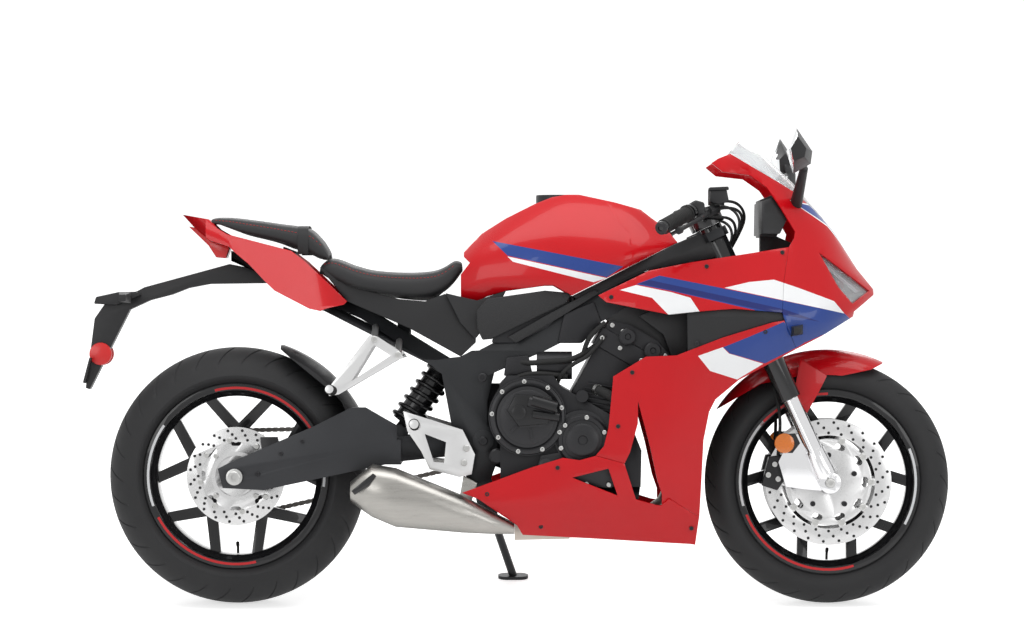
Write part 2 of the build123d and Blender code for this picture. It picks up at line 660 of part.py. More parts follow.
# Tank sections: x, bottom, waist, shoulder and top heights with their half widths
TANK = [
    (-175, 730, 78, 770, 92, 830, 84, 866, 40), (-124, 745, 96, 790, 116, 860, 104, 910, 48),
    (-40, 755, 120, 800, 142, 890, 126, 963, 58), (60, 745, 140, 800, 160, 900, 148, 1001, 66),
    (150, 750, 146, 820, 165, 900, 150, 998, 72), (250, 815, 132, 850, 150, 900, 132, 974, 70),
    (358, 850, 86, 872, 96, 890, 84, 905, 50),
]


def tank_section(low, low_half, waist, waist_half, shoulder, shoulder_half, top, top_half):
    """Closed outline of the tank across the bike."""
    right = [(-low_half, low), (-waist_half, waist), (-shoulder_half, shoulder), (-top_half, top)]
    return right + [(-y, z) for y, z in reversed(right)]


tank_form = lofted([(row[0], tank_section(*row[1:])) for row in TANK], ruled=True)
TANK_SIDE = [
    (-168, 862), (-124, 908), (-65, 945), (5, 980), (48, 997), (83, 1001), (114, 999), (201, 982), (266, 966),
    (292, 945), (327, 921), (354, 886), (249, 833), (96, 756), (52, 781), (31, 781), (-65, 768), (-113, 754),
    (-135, 742), (-212, 759), (-153, 836), (-168, 851),
]
tank_body = common(tank_form, slab(TANK_SIDE, -200, 200))
COVER_SEAM = [(162.4, 1020), (207.2, 936), (238.2, 906), (242.2, 828), (400, 828), (400, 1020)]
CAP_CENTRE = (60, 0)
CAP_SEAT = 988
tank_cover_room = slab(COVER_SEAM, -200, 200)
cap_well = rod((CAP_CENTRE[0], 0, CAP_SEAT), (CAP_CENTRE[0], 0, CAP_SEAT + 40), 42)
tank_hollow_front = slab([(130, 700), (130, 830), (420, 1000), (420, 700)], -62, 62)
filler_ring = cut(
    rod((CAP_CENTRE[0], 0, CAP_SEAT - 2), (CAP_CENTRE[0], 0, CAP_SEAT + 8), 40),
    rod((CAP_CENTRE[0], 0, CAP_SEAT), (CAP_CENTRE[0], 0, CAP_SEAT + 9), 31),
)
keep("tank", fused(cut(tank_body, tank_cover_room, cap_well, tank_hollow_front), filler_ring))
keep("tank_cover", cut(
    common(tank_form, slab([
        (163, 1020), (208, 936), (239, 906), (243, 831), (249, 834), (354, 886), (327, 921), (292, 945),
        (266, 966), (201, 982), (180, 990),
    ], -200, 200)),
    tank_hollow_front,
))
CAP_HINGE = (CAP_CENTRE[0] + 36, CAP_SEAT + 12)
CAP_RADIUS = 30
CAP_KNUCKLE_RADIUS = 3.3
CAP_TAB_HALF = 7
keep("filler_cap", fused(
    rod((CAP_CENTRE[0], 0, CAP_SEAT + 8.7), (CAP_CENTRE[0], 0, CAP_SEAT + 15), CAP_RADIUS),
    slab([
        (CAP_CENTRE[0] + 20, CAP_SEAT + 8.7), (CAP_HINGE[0], CAP_SEAT + 8.7),
        (CAP_HINGE[0], CAP_SEAT + 15), (CAP_CENTRE[0] + 20, CAP_SEAT + 15),
    ], -CAP_TAB_HALF, CAP_TAB_HALF),
    disc(CAP_HINGE, CAP_KNUCKLE_RADIUS, -CAP_TAB_HALF, CAP_TAB_HALF),
))

RIDER_SEAT_SIDE = [
    (-486, 849), (-433, 829), (-385, 817), (-304, 812), (-243, 816), (-215, 827), (-183, 849), (-171, 847),
    (-168, 833), (-211, 764), (-231, 748), (-260, 740), (-324, 741), (-446, 760), (-526, 823),
]
keep("rider_seat", form(RIDER_SEAT_SIDE, [
    (-530, -110), (-460, -128), (-340, -124), (-230, -88), (-170, -72), (-170, 72), (-230, 88), (-340, 124),
    (-460, 128), (-530, 110),
]))
PASSENGER_SEAT_SIDE = [
    (-790, 949), (-700, 944), (-543, 920), (-525, 902), (-501, 880), (-490, 853), (-530, 830), (-557, 850),
    (-590, 872), (-703, 902), (-756, 916), (-786, 939),
]
keep("passenger_seat", form(PASSENGER_SEAT_SIDE, [
    (-795, -60), (-740, -84), (-620, -98), (-520, -102), (-490, -96), (-490, 96), (-520, 102), (-620, 98),
    (-740, 84), (-795, 60),
]))

# Tail
TAIL_SIDE = [
    (-859, 955), (-793, 943), (-770, 920), (-746, 906), (-588, 865), (-556, 841), (-488, 777), (-451, 742),
    (-459, 734), (-504, 724), (-516, 718), (-544, 724), (-629, 768), (-649, 787), (-693, 833), (-729, 863),
    (-741, 875), (-790, 891), (-810, 908), (-830, 924),
]
TAIL_PLAN = [(-865, -26), (-800, -62), (-700, -92), (-560, -122), (-448, -132)]
tail_plan_outer = TAIL_PLAN + [(x, -y) for x, y in reversed(TAIL_PLAN)]
TAIL_ROOM = [(-790, -54)] + [(x, y + 2 * SKIN) for x, y in TAIL_PLAN[2:]]
tail_room_plan = TAIL_ROOM + [(-430, -124), (-430, 124)] + [(x, -y) for x, y in reversed(TAIL_ROOM)]
keep("tail_cowl", cut(form(TAIL_SIDE, tail_plan_outer), prism(tail_room_plan, 600, 1000)))
keep("tail_light", form(
    [(-845, 926), (-830, 923.6), (-810.2, 907.4), (-790.3, 890.5), (-743, 875.2), (-752, 848), (-776, 850),
     (-795, 879), (-813, 895)],
    [(-850, -18), (-790, -40), (-745, -46), (-745, 46), (-790, 40), (-850, 18)],
))
PLATE_ARM = [
    (-700, 825), (-744, 834), (-953, 777), (-972, 767), (-1040, 752), (-1076, 700), (-1098, 529), (-1088, 526),
    (-1030, 640), (-990, 722), (-940, 745), (-886, 759), (-845, 775), (-793, 785), (-650, 787), (-650, 815),
]
PLATE_HOLES_APART = 80
PLATE_HOLE_RADIUS = 3.5
PLATE_THICKNESS = 5
plate_normal = Vector(-223, 0, 58).normalized()
plate_centre = Vector(-1089, 0, 572)
plate_plane = Plane(origin=plate_centre, x_dir=(0, 1, 0), z_dir=plate_normal)
with BuildPart() as plate_back:
    with BuildSketch(plate_plane):
        RectangleRounded(PLATE_HOLES_APART + 34, 64, 8)
    extrude(amount=PLATE_THICKNESS)
with BuildPart() as plate_drill:
    with BuildSketch(plate_plane.offset(-60)):
        with Locations((-PLATE_HOLES_APART / 2, 0), (PLATE_HOLES_APART / 2, 0)):
            Circle(PLATE_HOLE_RADIUS)
    extrude(amount=90)
keep("plate_bracket", cut(fused(slab(PLATE_ARM, -24, 24), plate_back.part), plate_drill.part))


# Fairing
# Each row is one section of the right half: x, then (half width, height) from the
# lower edge over the waist crease and shoulder to the top.
FAIRING = [
    (130, (118, 140), (200, 300), (206, 450), (198, 600), (178, 700), (160, 775), (150, 800), (140, 830)),
    (300, (122, 140), (186, 300), (206, 450), (215, 600), (218, 705), (194, 800), (182, 830), (170, 870)),
    (450, (110, 140), (160, 300), (198, 450), (230, 600), (238, 705), (202, 830), (188, 900), (150, 1105)),
    (560, (104, 300), (150, 420), (190, 520), (222, 620), (234, 705), (194, 850), (168, 950), (112, 1100)),
    (650, (104, 560), (150, 590), (185, 620), (208, 660), (214, 710), (170, 850), (128, 960), (60, 1040)),
    (720, (84, 610), (130, 632), (160, 657), (178, 690), (180, 735), (132, 850), (88, 925), (0, 955)),
    (790, (55, 680), (82, 692), (102, 707), (113, 727), (108, 757), (76, 805), (46, 828), (0, 838)),
    (842, (9, 738), (15, 741), (20, 745), (25, 752), (25, 762), (18, 770), (10, 774), (0, 776)),
]


def strip(chain, depth, thickness):
    """Wall section: a right-hand chain of points moved in by a depth and thickened."""
    points = [Vector(-half, z) for half, z in chain]
    widest = max(half for half, _ in chain)
    thickness = min(thickness, widest / 2 - depth)
    walls = []
    for move in (depth, depth + thickness):
        wall = []
        for i, point in enumerate(points):
            run = points[min(i + 1, len(points) - 1)] - points[max(i - 1, 0)]
            inward = Vector(run.Y, -run.X).normalized()
            moved = point + inward * move
            wall.append((moved.X, moved.Y))
        walls.append(wall)
    return walls[0] + walls[1][::-1]


def skin(depth, thickness):
    """Right-hand fairing wall from the side section to the nose."""
    return lofted([(row[0], strip(row[1:], depth, thickness)) for row in FAIRING], ruled=True)


def core(depth):
    """Everything on the right-hand side within a depth below the fairing's surface."""
    sections = []
    for row in FAIRING:
        wall = strip(row[1:], depth, SKIN)[:len(row) - 1]
        sections.append((row[0], wall + [(6, wall[-1][1]), (6, wall[0][1])]))
    return lofted(sections, ruled=True)


outer_skin = skin(0, SKIN)
around_fairing = core(-FIT)
UPPER_PANEL = [
    (159, 756), (178, 740), (328, 710), (393, 717), (484, 724), (601, 715), (606, 790), (620, 873), (508, 855),
    (384, 836), (282, 816), (167, 760),
]
MID_PANEL = [
    (194, 560), (273, 608), (346, 611), (457, 654), (579, 691), (606, 695), (636, 626), (497, 552), (441, 505),
    (426, 475), (413, 406), (405, 218), (330, 264), (313, 249), (313, 274), (301, 310), (283, 392), (254, 500),
    (254, 447), (235, 377), (222, 350), (152, 369), (172, 392), (183, 436), (194, 554),
]
LOWER_PANEL = [
    (-171, 279), (-127, 295), (-5, 340), (73, 364), (113, 358), (151.6, 368.5), (221.5, 349.5), (250, 262),
    (298, 248), (311, 246.3), (313.4, 248.4), (330.3, 263.3), (404.6, 217.2), (396, 149), (383, 151), (-24, 176),
    (-38, 200), (-131, 264),
]
LOWER_VENT = [(95, 316), (183, 338), (205, 272)]
NOSE_PANEL = [
    (636.8, 626.4), (700, 658), (781, 705), (783, 717), (838, 758), (838, 772), (796, 822), (783, 849), (746, 904),
    (688, 966), (636, 1010), (480, 1100), (450, 1088), (434, 1077), (460, 1056), (528, 1048), (569, 1019),
    (597, 979), (637, 911), (634, 894), (620.8, 874), (606.8, 790), (601.8, 715), (607, 696),
]
LAMP_OPENING = [(695, 861), (826, 768), (779, 735), (742, 777)]
LAMP_GLASS = [(688, 868), (836, 768), (779, 730), (737, 774)]

keep("upper_fairing", both_sides(common(outer_skin, slab(UPPER_PANEL, -300, -20))))
keep("mid_fairing", both_sides(common(outer_skin, slab(MID_PANEL, -300, -20))))
LOWER_FORM = [
    (-180, (150, 140), (196, 240), (196, 300), (190, 360)), (-40, (150, 140), (206, 250), (206, 320), (200, 380)),
    (150, (124, 140), (190, 250), (206, 330), (206, 400)), (300, (122, 140), (176, 260), (192, 330), (198, 400)),
    (420, (112, 140), (158, 260), (176, 330), (186, 400)),
]
lower_skin = lofted([(row[0], strip(row[1:], 0, SKIN)) for row in LOWER_FORM], ruled=True)
keep("lower_fairing", both_sides(cut(common(lower_skin, slab(LOWER_PANEL, -300, -20)), slab(LOWER_VENT, -300, -20))))
nose = cut(common(outer_skin, slab(NOSE_PANEL, -300, 1)), slab(LAMP_OPENING, -300, -9))
keep("nose_cowl", both_sides(nose))
keep("vent_inserts", both_sides(common(skin(SKIN + FIT, SKIN), slab([
    (372, 720), (484, 735), (606, 726), (612, 690), (582, 680), (457, 643), (374, 612),
], -300, -20))))
keep("headlamps", both_sides(common(skin(SKIN + FIT, 12), slab(LAMP_GLASS, -300, -14))))

# Windscreen sections: x, half width, edge height, middle height
WINDSCREEN = [(470, 134, 1096, 1168), (560, 118, 1056, 1112), (640, 98, 1010, 1034), (710, 72, 944, 953), (797, 9, 824, 827)]
with BuildPart() as screen:
    for x, half, edge_z, middle_z in WINDSCREEN:
        with BuildSketch(at_x(x)):
            with BuildLine():
                ThreePointArc((-half, edge_z), (0, middle_z), (half, edge_z))
                Line((half, edge_z), (half, edge_z - SKIN))
                ThreePointArc((half, edge_z - SKIN), (0, middle_z - SKIN), (-half, edge_z - SKIN))
                Line((-half, edge_z - SKIN), (-half, edge_z))
            make_face()
    loft(ruled=True)
keep("windscreen", cut(common(screen.part, slab([
    (485, 1085), (485, 1106), (521, 1150), (640, 1200), (800, 1000), (800, 815), (640, 960), (560, 1030),
], -200, 200)), pieces["nose_cowl"]))


def lofted_y(sections):
    """Ruled loft through (y, [(x, z), ...]) polygons."""
    with BuildPart() as body:
        for y, points in sections:
            with BuildSketch(Plane.XZ.offset(-y)):
                with BuildLine():
                    Polyline(*points, close=True)
                make_face()
        loft(ruled=True)
    return body.part


mirror_head = lofted_y([
    (-236, [(628, 1062), (650, 1070), (652, 1100), (640, 1116), (624, 1100)]),
    (-300, [(622, 1046), (664, 1070), (668, 1100), (630, 1156), (606, 1100)]),
    (-MIRROR_REACH, [(618, 1074), (644, 1084), (648, 1104), (628, 1132), (611, 1104)]),
])
mirror_arm = fused(rod((640, -246, 1086), (654, -215, 1062), 9), rod((654, -215, 1062), (640, -98, 966), 10, 16))
keep("mirrors", both_sides(cut(fused(mirror_head, mirror_arm), around_fairing)))
STAY_TOP = 902
stay_root = steer_point(818).X
fairing_stay = cut(
    slab([
        (stay_root, 798), (stay_root, 838), (560, 852), (560, STAY_TOP), (600, STAY_TOP), (640, 884),
        (700, 878), (700, 800), (670, 790), (560, 812),
    ], -24, 24), pieces["frame"], rod(steer_point(780), steer_point(870), 30.3),
)
keep("cockpit_trim", fused(
    fairing_stay,
    slab([(556, STAY_TOP - 2), (596, STAY_TOP - 2), (622, 955), (592, 1004), (556, 990)], -92, 92),
    both_sides(common(slab([(556, 906), (600, 906), (622, 950), (590, 996), (556, 985)], -220, -90),
                      core(SKIN + FIT))),
))
keep("knee_pads", both_sides(cut(slab([
    (-111, 748), (30, 768), (95, 762), (82, 738), (-100, 650), (-122, 648), (-135, 676), (-137, 718),
], -143, -120), pieces["frame"], pieces["tank"])))

# Foot controls and rear brake
RIDER_BRACKET = [
    (-314, 475), (-239, 450), (-170, 430), (-140, 370), (-148, 322), (-177, 315), (-250, 334), (-270, 377), (-304, 427),
]
PASSENGER_BRACKET = [(-396, 660), (-376, 656), (-324, 622), (-312, 604), (-326, 600), (-470, 516), (-494, 512), (-498, 528)]
brackets = fused(
    cut(slab(RIDER_BRACKET, -150, -134), slab([(-262, 420), (-210, 400), (-215, 350), (-240, 352)], -160, -120)),
    disc((-160, 385), 10, -135, -112.3), disc((-166, 350), 8, -135, -112.3),
)
brackets_left = fused(
    cut(slab(RIDER_BRACKET, 134, 150), slab([(-262, 420), (-210, 400), (-215, 350), (-240, 352)], 120, 160)),
    disc((-160, 385), 10, 92.3, 135),
)
passenger_bracket = cut(
    slab(PASSENGER_BRACKET, -150, -138), slab([(-386, 636), (-345, 610), (-440, 548)], -160, -130),
)
passenger_bosses = fused(rod((-384, -139, 650), (-384, -55, 690), 8), rod((-326, -139, 612), (-326, -55, 655), 8))
pegs = fused(rod((-282, -145, 440), (-286, -236, 446), 11), rod((-484, -145, 524), (-490, -232, 530), 10))
keep("foot_pegs", cut(
    fused(brackets, brackets_left, both_sides(fused(passenger_bracket, passenger_bosses, pegs))),
    pieces["subframe"], pieces["frame"],
))
rear_disc_way = disc((REAR_X, REAR_TYRE_RADIUS), REAR_DISC_RADIUS + 4, -REAR_DISC_PLANE - 4.5, -REAR_DISC_PLANE + 4.5)
caliper_at = polar((REAR_X, REAR_TYRE_RADIUS), 108, 38)
keep("rear_caliper", cut(fused(
    slab([polar(caliper_at, 38, 130), polar(caliper_at, 34, 60), polar(caliper_at, 40, -40), polar(caliper_at, 36, -120)],
         -104, -75),
    slab([polar(caliper_at, 30, -60), polar(caliper_at, 34, 30), (-680, 372), (-690, 340)], -111.7, -103),
), rear_disc_way))
with BuildPart() as hugger_shell:
    with BuildSketch(Plane.YZ):
        with BuildLine():
            Polyline((-100, 292), (-100, 318), (-60, 338), (60, 338), (100, 318), (100, 292), (97, 292), (97, 316),
                     (59, 335), (-59, 335), (-97, 316), (-97, 292), close=True)
        make_face()
    revolve(axis=Axis.Y)
hugger = common(hugger_shell.part.moved(Location((REAR_X, 0, REAR_TYRE_RADIUS))), slab([
    (-616, 700), (-616, 625), (-540, 560), (-470, 505), (-440, 440), (-440, 405.3), (-360, 405.3), (-360, 560), (-500, 700),
], -110, 96.5))
keep("rear_hugger", cut(fused(
    hugger, slab([(-400, 405.3), (-400, 440), (-384, 440), (-360, 405.3)], -90, 90),
), pieces["swingarm"]))

# Side stand
STAND_PIVOT = Vector(-110, 98, 232)
STAND_DOWN = Vector(0.25, 0.60, -0.75).normalized()
STAND_AXIS = Vector(0.055, 0.771, 0.635).normalized()
FOOT_THICKNESS = 8
floor_normal = Vector(0, -sin(radians(LEAN)), cos(radians(LEAN)))
leg_start = STAND_PIVOT + STAND_AXIS * 11
leg_length = (leg_start.dot(floor_normal) + LIFT - FOOT_THICKNESS) / -STAND_DOWN.dot(floor_normal)
leg_end = leg_start + STAND_DOWN * leg_length
foot_centre = leg_end - floor_normal * FOOT_THICKNESS
with BuildPart() as stand_foot:
    with BuildSketch(Plane(origin=foot_centre, x_dir=(1, 0, 0), z_dir=floor_normal)):
        SlotOverall(76, 46)
    extrude(amount=FOOT_THICKNESS)
keep("side_stand", fused(
    rod(STAND_PIVOT + STAND_AXIS * 0.4, STAND_PIVOT + STAND_AXIS * 21, 16),
    rod(leg_start, leg_end + floor_normal * -2, 10), stand_foot.part,
))
stand_boss = fused(
    rod(STAND_PIVOT - STAND_AXIS * 20, STAND_PIVOT, 15),
    slab([(-150, 300), (-104, 308), (-86, 262), (-86, 214), (-130, 210)], 74, 91.5),
)
keep("frame", fused(pieces["frame"], cut(stand_boss, rod(STAND_PIVOT, STAND_PIVOT + STAND_AXIS * 30, 40))))

# Lamps and small pieces at the back
indicator = fused(
    rod((-990, -25, 752), (-992, -64, 750), 7), lofted_y([
        (-62, [(-1012, 738), (-984, 738), (-984, 764), (-1012, 764)]),
        (-128, [(-1006, 742), (-990, 742), (-990, 758), (-1006, 758)]),
    ]),
)
front_indicator = lofted_y([
    (-212, [(622, 656), (652, 662), (652, 686), (622, 682)]), (-244, [(628, 662), (646, 665), (646, 680), (628, 678)]),
])
keep("indicators", both_sides(fused(indicator, cut(front_indicator, outer_skin))))

# Parking: every piece is leaned to the left about the line through the crowns'
# centres and set so that the origin is below the middle of the whole bike.
lean = Location((0, 0, LIFT), (-LEAN, 0, 0))
parked = {name: lean * piece for name, piece in pieces.items()}
lows = [piece.bounding_box().min for piece in parked.values()]
highs = [piece.bounding_box().max for piece in parked.values()]
centre_x = (min(v.X for v in lows) + max(v.X for v in highs)) / 2
centre_y = (min(v.Y for v in lows) + max(v.Y for v in highs)) / 2
floor_z = min(v.Z for v in lows)
park = Location((-centre_x, -centre_y, -floor_z)) * lean

os.makedirs("parts", exist_ok=True)
for name, piece in pieces.items():
    placed = park * piece
    placed.label = name
    export_step(placed, f"parts/{name}.step")
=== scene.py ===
"""Looks of a sport bike on its side stand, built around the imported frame."""

import json
import logging
import math
from contextlib import contextmanager
from dataclasses import dataclass, field
from enum import Enum
from typing import Callable, Iterator, Sequence

import bpy
from mathutils import Matrix, Vector


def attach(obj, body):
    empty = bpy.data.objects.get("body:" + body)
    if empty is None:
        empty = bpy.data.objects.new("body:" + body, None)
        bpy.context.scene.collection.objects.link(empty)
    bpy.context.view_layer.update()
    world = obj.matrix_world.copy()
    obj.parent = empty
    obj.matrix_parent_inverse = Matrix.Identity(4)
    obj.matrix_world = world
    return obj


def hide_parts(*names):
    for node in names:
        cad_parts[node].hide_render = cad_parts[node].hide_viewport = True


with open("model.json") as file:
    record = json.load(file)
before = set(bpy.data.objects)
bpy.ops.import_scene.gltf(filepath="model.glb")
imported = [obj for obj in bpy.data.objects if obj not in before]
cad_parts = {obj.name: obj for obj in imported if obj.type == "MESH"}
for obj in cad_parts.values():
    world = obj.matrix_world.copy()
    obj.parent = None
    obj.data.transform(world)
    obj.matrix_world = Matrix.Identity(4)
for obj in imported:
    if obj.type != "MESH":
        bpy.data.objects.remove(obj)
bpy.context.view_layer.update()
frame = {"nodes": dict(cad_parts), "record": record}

LOG = logging.getLogger("sport_bike")
Point2 = tuple[float, float]
Point3 = tuple[float, float, float]
Piece = bpy.types.Object
Colour = tuple[float, float, float]

MM = 0.001
LEAN = math.radians(10)
FRONT_HUB = (724.5, 0.0, 300.0)
REAR_HUB = (-724.5, 0.0, 315.0)
NODES = frame["nodes"]


def bike_matrix() -> Matrix:
    """Turns millimetres on the upright bike into metres in the row frame.

    Returns:
        The matrix that leans the bike on its stand and puts it in place.
    """
    joints = frame["record"]["behaviour"]["joints"]
    hub = next(Vector(j["pos_m"]) for j in joints if j["name"] == "rear_spin")
    turn = Matrix.Rotation(-LEAN, 4, "X")
    return Matrix.Translation(hub - turn @ (Vector(REAR_HUB) * MM)) @ turn @ Matrix.Scale(MM, 4)


BIKE = bike_matrix()
UPRIGHT = BIKE.inverted()


class Pattern(Enum):
    """How a finish varies over its surface."""

    PAINT = "paint"
    CAST = "cast"
    BRUSHED = "brushed"
    MOULDED = "moulded"
    LEATHER = "leather"
    RUBBER = "rubber"
    CLEAR = "clear"


@dataclass(frozen=True)
class Finish:
    """One surface finish and the numbers of its nodes."""

    name: str
    colour: Colour
    pattern: Pattern = Pattern.PAINT
    rough: float = 0.4
    metallic: float = 0.0
    grain: float = 0.004
    variation: float = 0.08
    bump: float = 0.1
    coat: float = 0.0
    transmission: float = 0.0
    alpha: float = 1.0
    stretch: Point3 = (1.0, 1.0, 1.0)

    def material(self) -> bpy.types.Material:
        """Builds the finish's material once and gives it back.

        Returns:
            The material with its nodes.
        """
        found = bpy.data.materials.get(self.name)
        if found:
            return found
        made = bpy.data.materials.new(self.name)
        made.use_nodes = True
        tree = made.node_tree
        shader = tree.nodes["Principled BSDF"]
        self._sockets(shader)
        spot = tree.nodes.new("ShaderNodeTexCoord")
        turn = tree.nodes.new("ShaderNodeMapping")
        turn.inputs["Rotation"].default_value = (LEAN, 0, 0)
        turn.inputs["Scale"].default_value = self.stretch
        tree.links.new(spot.outputs["Object"], turn.inputs["Vector"])
        fine = self._fine(tree, turn)
        broad = tree.nodes.new("ShaderNodeTexNoise")
        broad.inputs["Scale"].default_value = 9
        broad.inputs["Detail"].default_value = 4
        tree.links.new(turn.outputs["Vector"], broad.inputs["Vector"])
        blend = tree.nodes.new("ShaderNodeMath")
        blend.operation = "MULTIPLY_ADD"
        blend.inputs[1].default_value = 0.5
        tree.links.new(fine, blend.inputs[0])
        half = tree.nodes.new("ShaderNodeMath")
        half.operation = "MULTIPLY"
        half.inputs[1].default_value = 0.5
        tree.links.new(broad.outputs["Fac"], half.inputs[0])
        tree.links.new(half.outputs["Value"], blend.inputs[2])
        self._colour(tree, shader, blend.outputs["Value"])
        self._rough(tree, shader, blend.outputs["Value"])
        if self.bump:
            bump = tree.nodes.new("ShaderNodeBump")
            bump.inputs["Strength"].default_value = self.bump
            bump.inputs["Distance"].default_value = self.grain / 4
            tree.links.new(fine, bump.inputs["Height"])
            tree.links.new(bump.outputs["Normal"], shader.inputs["Normal"])
        return made

    def _sockets(self, shader: bpy.types.Node) -> None:
        """Sets the values that are the same all over.

        Args:
            shader: the material's surface shader.
        """
        shader.inputs["Metallic"].default_value = self.metallic
        shader.inputs["Coat Weight"].default_value = self.coat
        shader.inputs["Coat Roughness"].default_value = 0.04
        shader.inputs["Transmission Weight"].default_value = self.transmission
        shader.inputs["Alpha"].default_value = self.alpha
        shader.inputs["Specular IOR Level"].default_value = 0.2 if self.coat else 0.35
        if self.pattern is Pattern.LEATHER:
            shader.inputs["Sheen Weight"].default_value = 0.08

    def _fine(self, tree: bpy.types.NodeTree, turn: bpy.types.Node) -> bpy.types.NodeSocket:
        """Adds the fine texture of the finish.

        Args:
            tree: the material's nodes.
            turn: the mapping that the texture reads.

        Returns:
            The socket with the texture's height.
        """
        kinds = {Pattern.LEATHER: "ShaderNodeTexVoronoi", Pattern.MOULDED: "ShaderNodeTexVoronoi"}
        texture = tree.nodes.new(kinds.get(self.pattern, "ShaderNodeTexNoise"))
        texture.inputs["Scale"].default_value = 1 / self.grain
        tree.links.new(turn.outputs["Vector"], texture.inputs["Vector"])
        if self.pattern in kinds:
            return texture.outputs["Distance"]
        texture.inputs["Detail"].default_value = 3
        return texture.outputs["Fac"]

    def _colour(self, tree: bpy.types.NodeTree, shader: bpy.types.Node, factor: bpy.types.NodeSocket) -> None:
        """Varies the colour a little either way.

        Args:
            tree: the material's nodes.
            shader: the surface shader.
            factor: the texture that drives it.
        """
        ramp = tree.nodes.new("ShaderNodeValToRGB")
        low, high = ramp.color_ramp.elements
        low.position, high.position = 0.3, 0.7
        low.color = (*[c * (1 - self.variation) for c in self.colour], 1)
        high.color = (*[min(1, c * (1 + self.variation)) for c in self.colour], 1)
        tree.links.new(factor, ramp.inputs["Fac"])
        tree.links.new(ramp.outputs["Color"], shader.inputs["Base Color"])

    def _rough(self, tree: bpy.types.NodeTree, shader: bpy.types.Node, factor: bpy.types.NodeSocket) -> None:
        """Varies the roughness with the same texture.

        Args:
            tree: the material's nodes.
            shader: the surface shader.
            factor: the texture that drives it.
        """
        spread = tree.nodes.new("ShaderNodeMapRange")
        spread.inputs["From Min"].default_value = 0.3
        spread.inputs["From Max"].default_value = 0.7
        spread.inputs["To Min"].default_value = max(0.02, self.rough * 0.8)
        spread.inputs["To Max"].default_value = min(1, self.rough * 1.2)
        tree.links.new(factor, spread.inputs["Value"])
        tree.links.new(spread.outputs["Result"], shader.inputs["Roughness"])


RED = Finish("gloss_red", (0.54, 0.0015, 0.006), rough=0.3, grain=0.0006, variation=0.05, bump=0.01, coat=0.3)
NAVY = Finish("deep_blue", (0.006, 0.015, 0.14), rough=0.3, grain=0.0006, variation=0.06, bump=0.01, coat=0.45)
BLUE = Finish("stripe_blue", (0.013, 0.048, 0.25), rough=0.3, grain=0.0006, variation=0.05, bump=0.01, coat=0.45)
WHITE = Finish("stripe_white", (0.86, 0.87, 0.88), rough=0.3, grain=0.0006, variation=0.02, bump=0.01, coat=0.45)
FRAME_PAINT = Finish("frame_grey", (0.022, 0.023, 0.025), Pattern.CAST, 0.42, 0.35, 0.0011, 0.15, 0.25)
ARM_PAINT = Finish("arm_grey", (0.030, 0.031, 0.034), Pattern.CAST, 0.40, 0.35, 0.0011, 0.15, 0.25)
ENGINE_CAST = Finish("engine_black", (0.016, 0.016, 0.018), Pattern.CAST, 0.46, 0.3, 0.0013, 0.25, 0.5)
COVER_CAST = Finish("cover_black", (0.022, 0.022, 0.024), Pattern.CAST, 0.38, 0.3, 0.0011, 0.2, 0.4)
PLASTIC = Finish("moulded_black", (0.012, 0.012, 0.013), Pattern.MOULDED, 0.48, 0.0, 0.0012, 0.2, 0.35)
COARSE = Finish("textured_black", (0.018, 0.018, 0.019), Pattern.MOULDED, 0.62, 0.0, 0.003, 0.3, 0.8)
GLOSS_BLACK = Finish("gloss_black", (0.006, 0.006, 0.007), rough=0.22, grain=0.0008, bump=0.02, coat=0.6)
RIM_BLACK = Finish("rim_black", (0.008, 0.008, 0.009), Pattern.PAINT, 0.3, 0.2, 0.0009, 0.1, 0.05, 0.5)
RUBBER = Finish("tyre_rubber_worn", (0.017, 0.017, 0.018), Pattern.RUBBER, 0.68, 0.0, 0.0012, 0.25, 0.45)
SOFT_RUBBER = Finish("soft_rubber", (0.012, 0.012, 0.012), Pattern.RUBBER, 0.75, 0.0, 0.001, 0.2, 0.5)
SEAT = Finish("seat_vinyl", (0.013, 0.013, 0.014), Pattern.LEATHER, 0.55, 0.0, 0.0016, 0.25, 0.6)
SEAT_GRIP = Finish("seat_grip_vinyl", (0.017, 0.017, 0.018), Pattern.LEATHER, 0.7, 0.0, 0.0009, 0.3, 0.9)
THREAD = Finish("red_thread", (0.50, 0.02, 0.02), Pattern.RUBBER, 0.7, 0.0, 0.0004, 0.2, 0.5)
SILENCER = Finish("brushed_grey", (0.33, 0.32, 0.30), Pattern.BRUSHED, 0.3, 1.0, 0.002, 0.12, 0.2,
                  stretch=(1.0, 14.0, 14.0))
HEADER = Finish("header_steel", (0.23, 0.20, 0.17), Pattern.BRUSHED, 0.32, 1.0, 0.003, 0.3, 0.15)
STEEL = Finish("disc_steel_ground", (0.56, 0.56, 0.56), Pattern.BRUSHED, 0.3, 1.0, 0.0016, 0.12, 0.15)
CHROME = Finish("fork_chrome_hard", (0.72, 0.72, 0.73), Pattern.BRUSHED, 0.12, 1.0, 0.002, 0.05, 0.03)
BOLT = Finish("zinc_bolt", (0.46, 0.46, 0.45), Pattern.CAST, 0.34, 1.0, 0.0008, 0.15, 0.2)
DARK_BOLT = Finish("black_bolt", (0.03, 0.03, 0.032), Pattern.CAST, 0.4, 0.7, 0.0008, 0.2, 0.2)
BRACKET = Finish("bracket_silver", (0.45, 0.45, 0.46), Pattern.CAST, 0.42, 0.85, 0.0012, 0.15, 0.35)
CALIPER = Finish("caliper_black", (0.014, 0.014, 0.015), Pattern.CAST, 0.34, 0.25, 0.001, 0.2, 0.3)
RADIATOR = Finish("radiator_core", (0.010, 0.010, 0.011), Pattern.CAST, 0.5, 0.4, 0.0007, 0.4, 0.6,
                  stretch=(1.0, 6.0, 1.0))
CHAIN = Finish("chain_steel", (0.16, 0.15, 0.14), Pattern.CAST, 0.4, 0.9, 0.002, 0.3, 0.25)
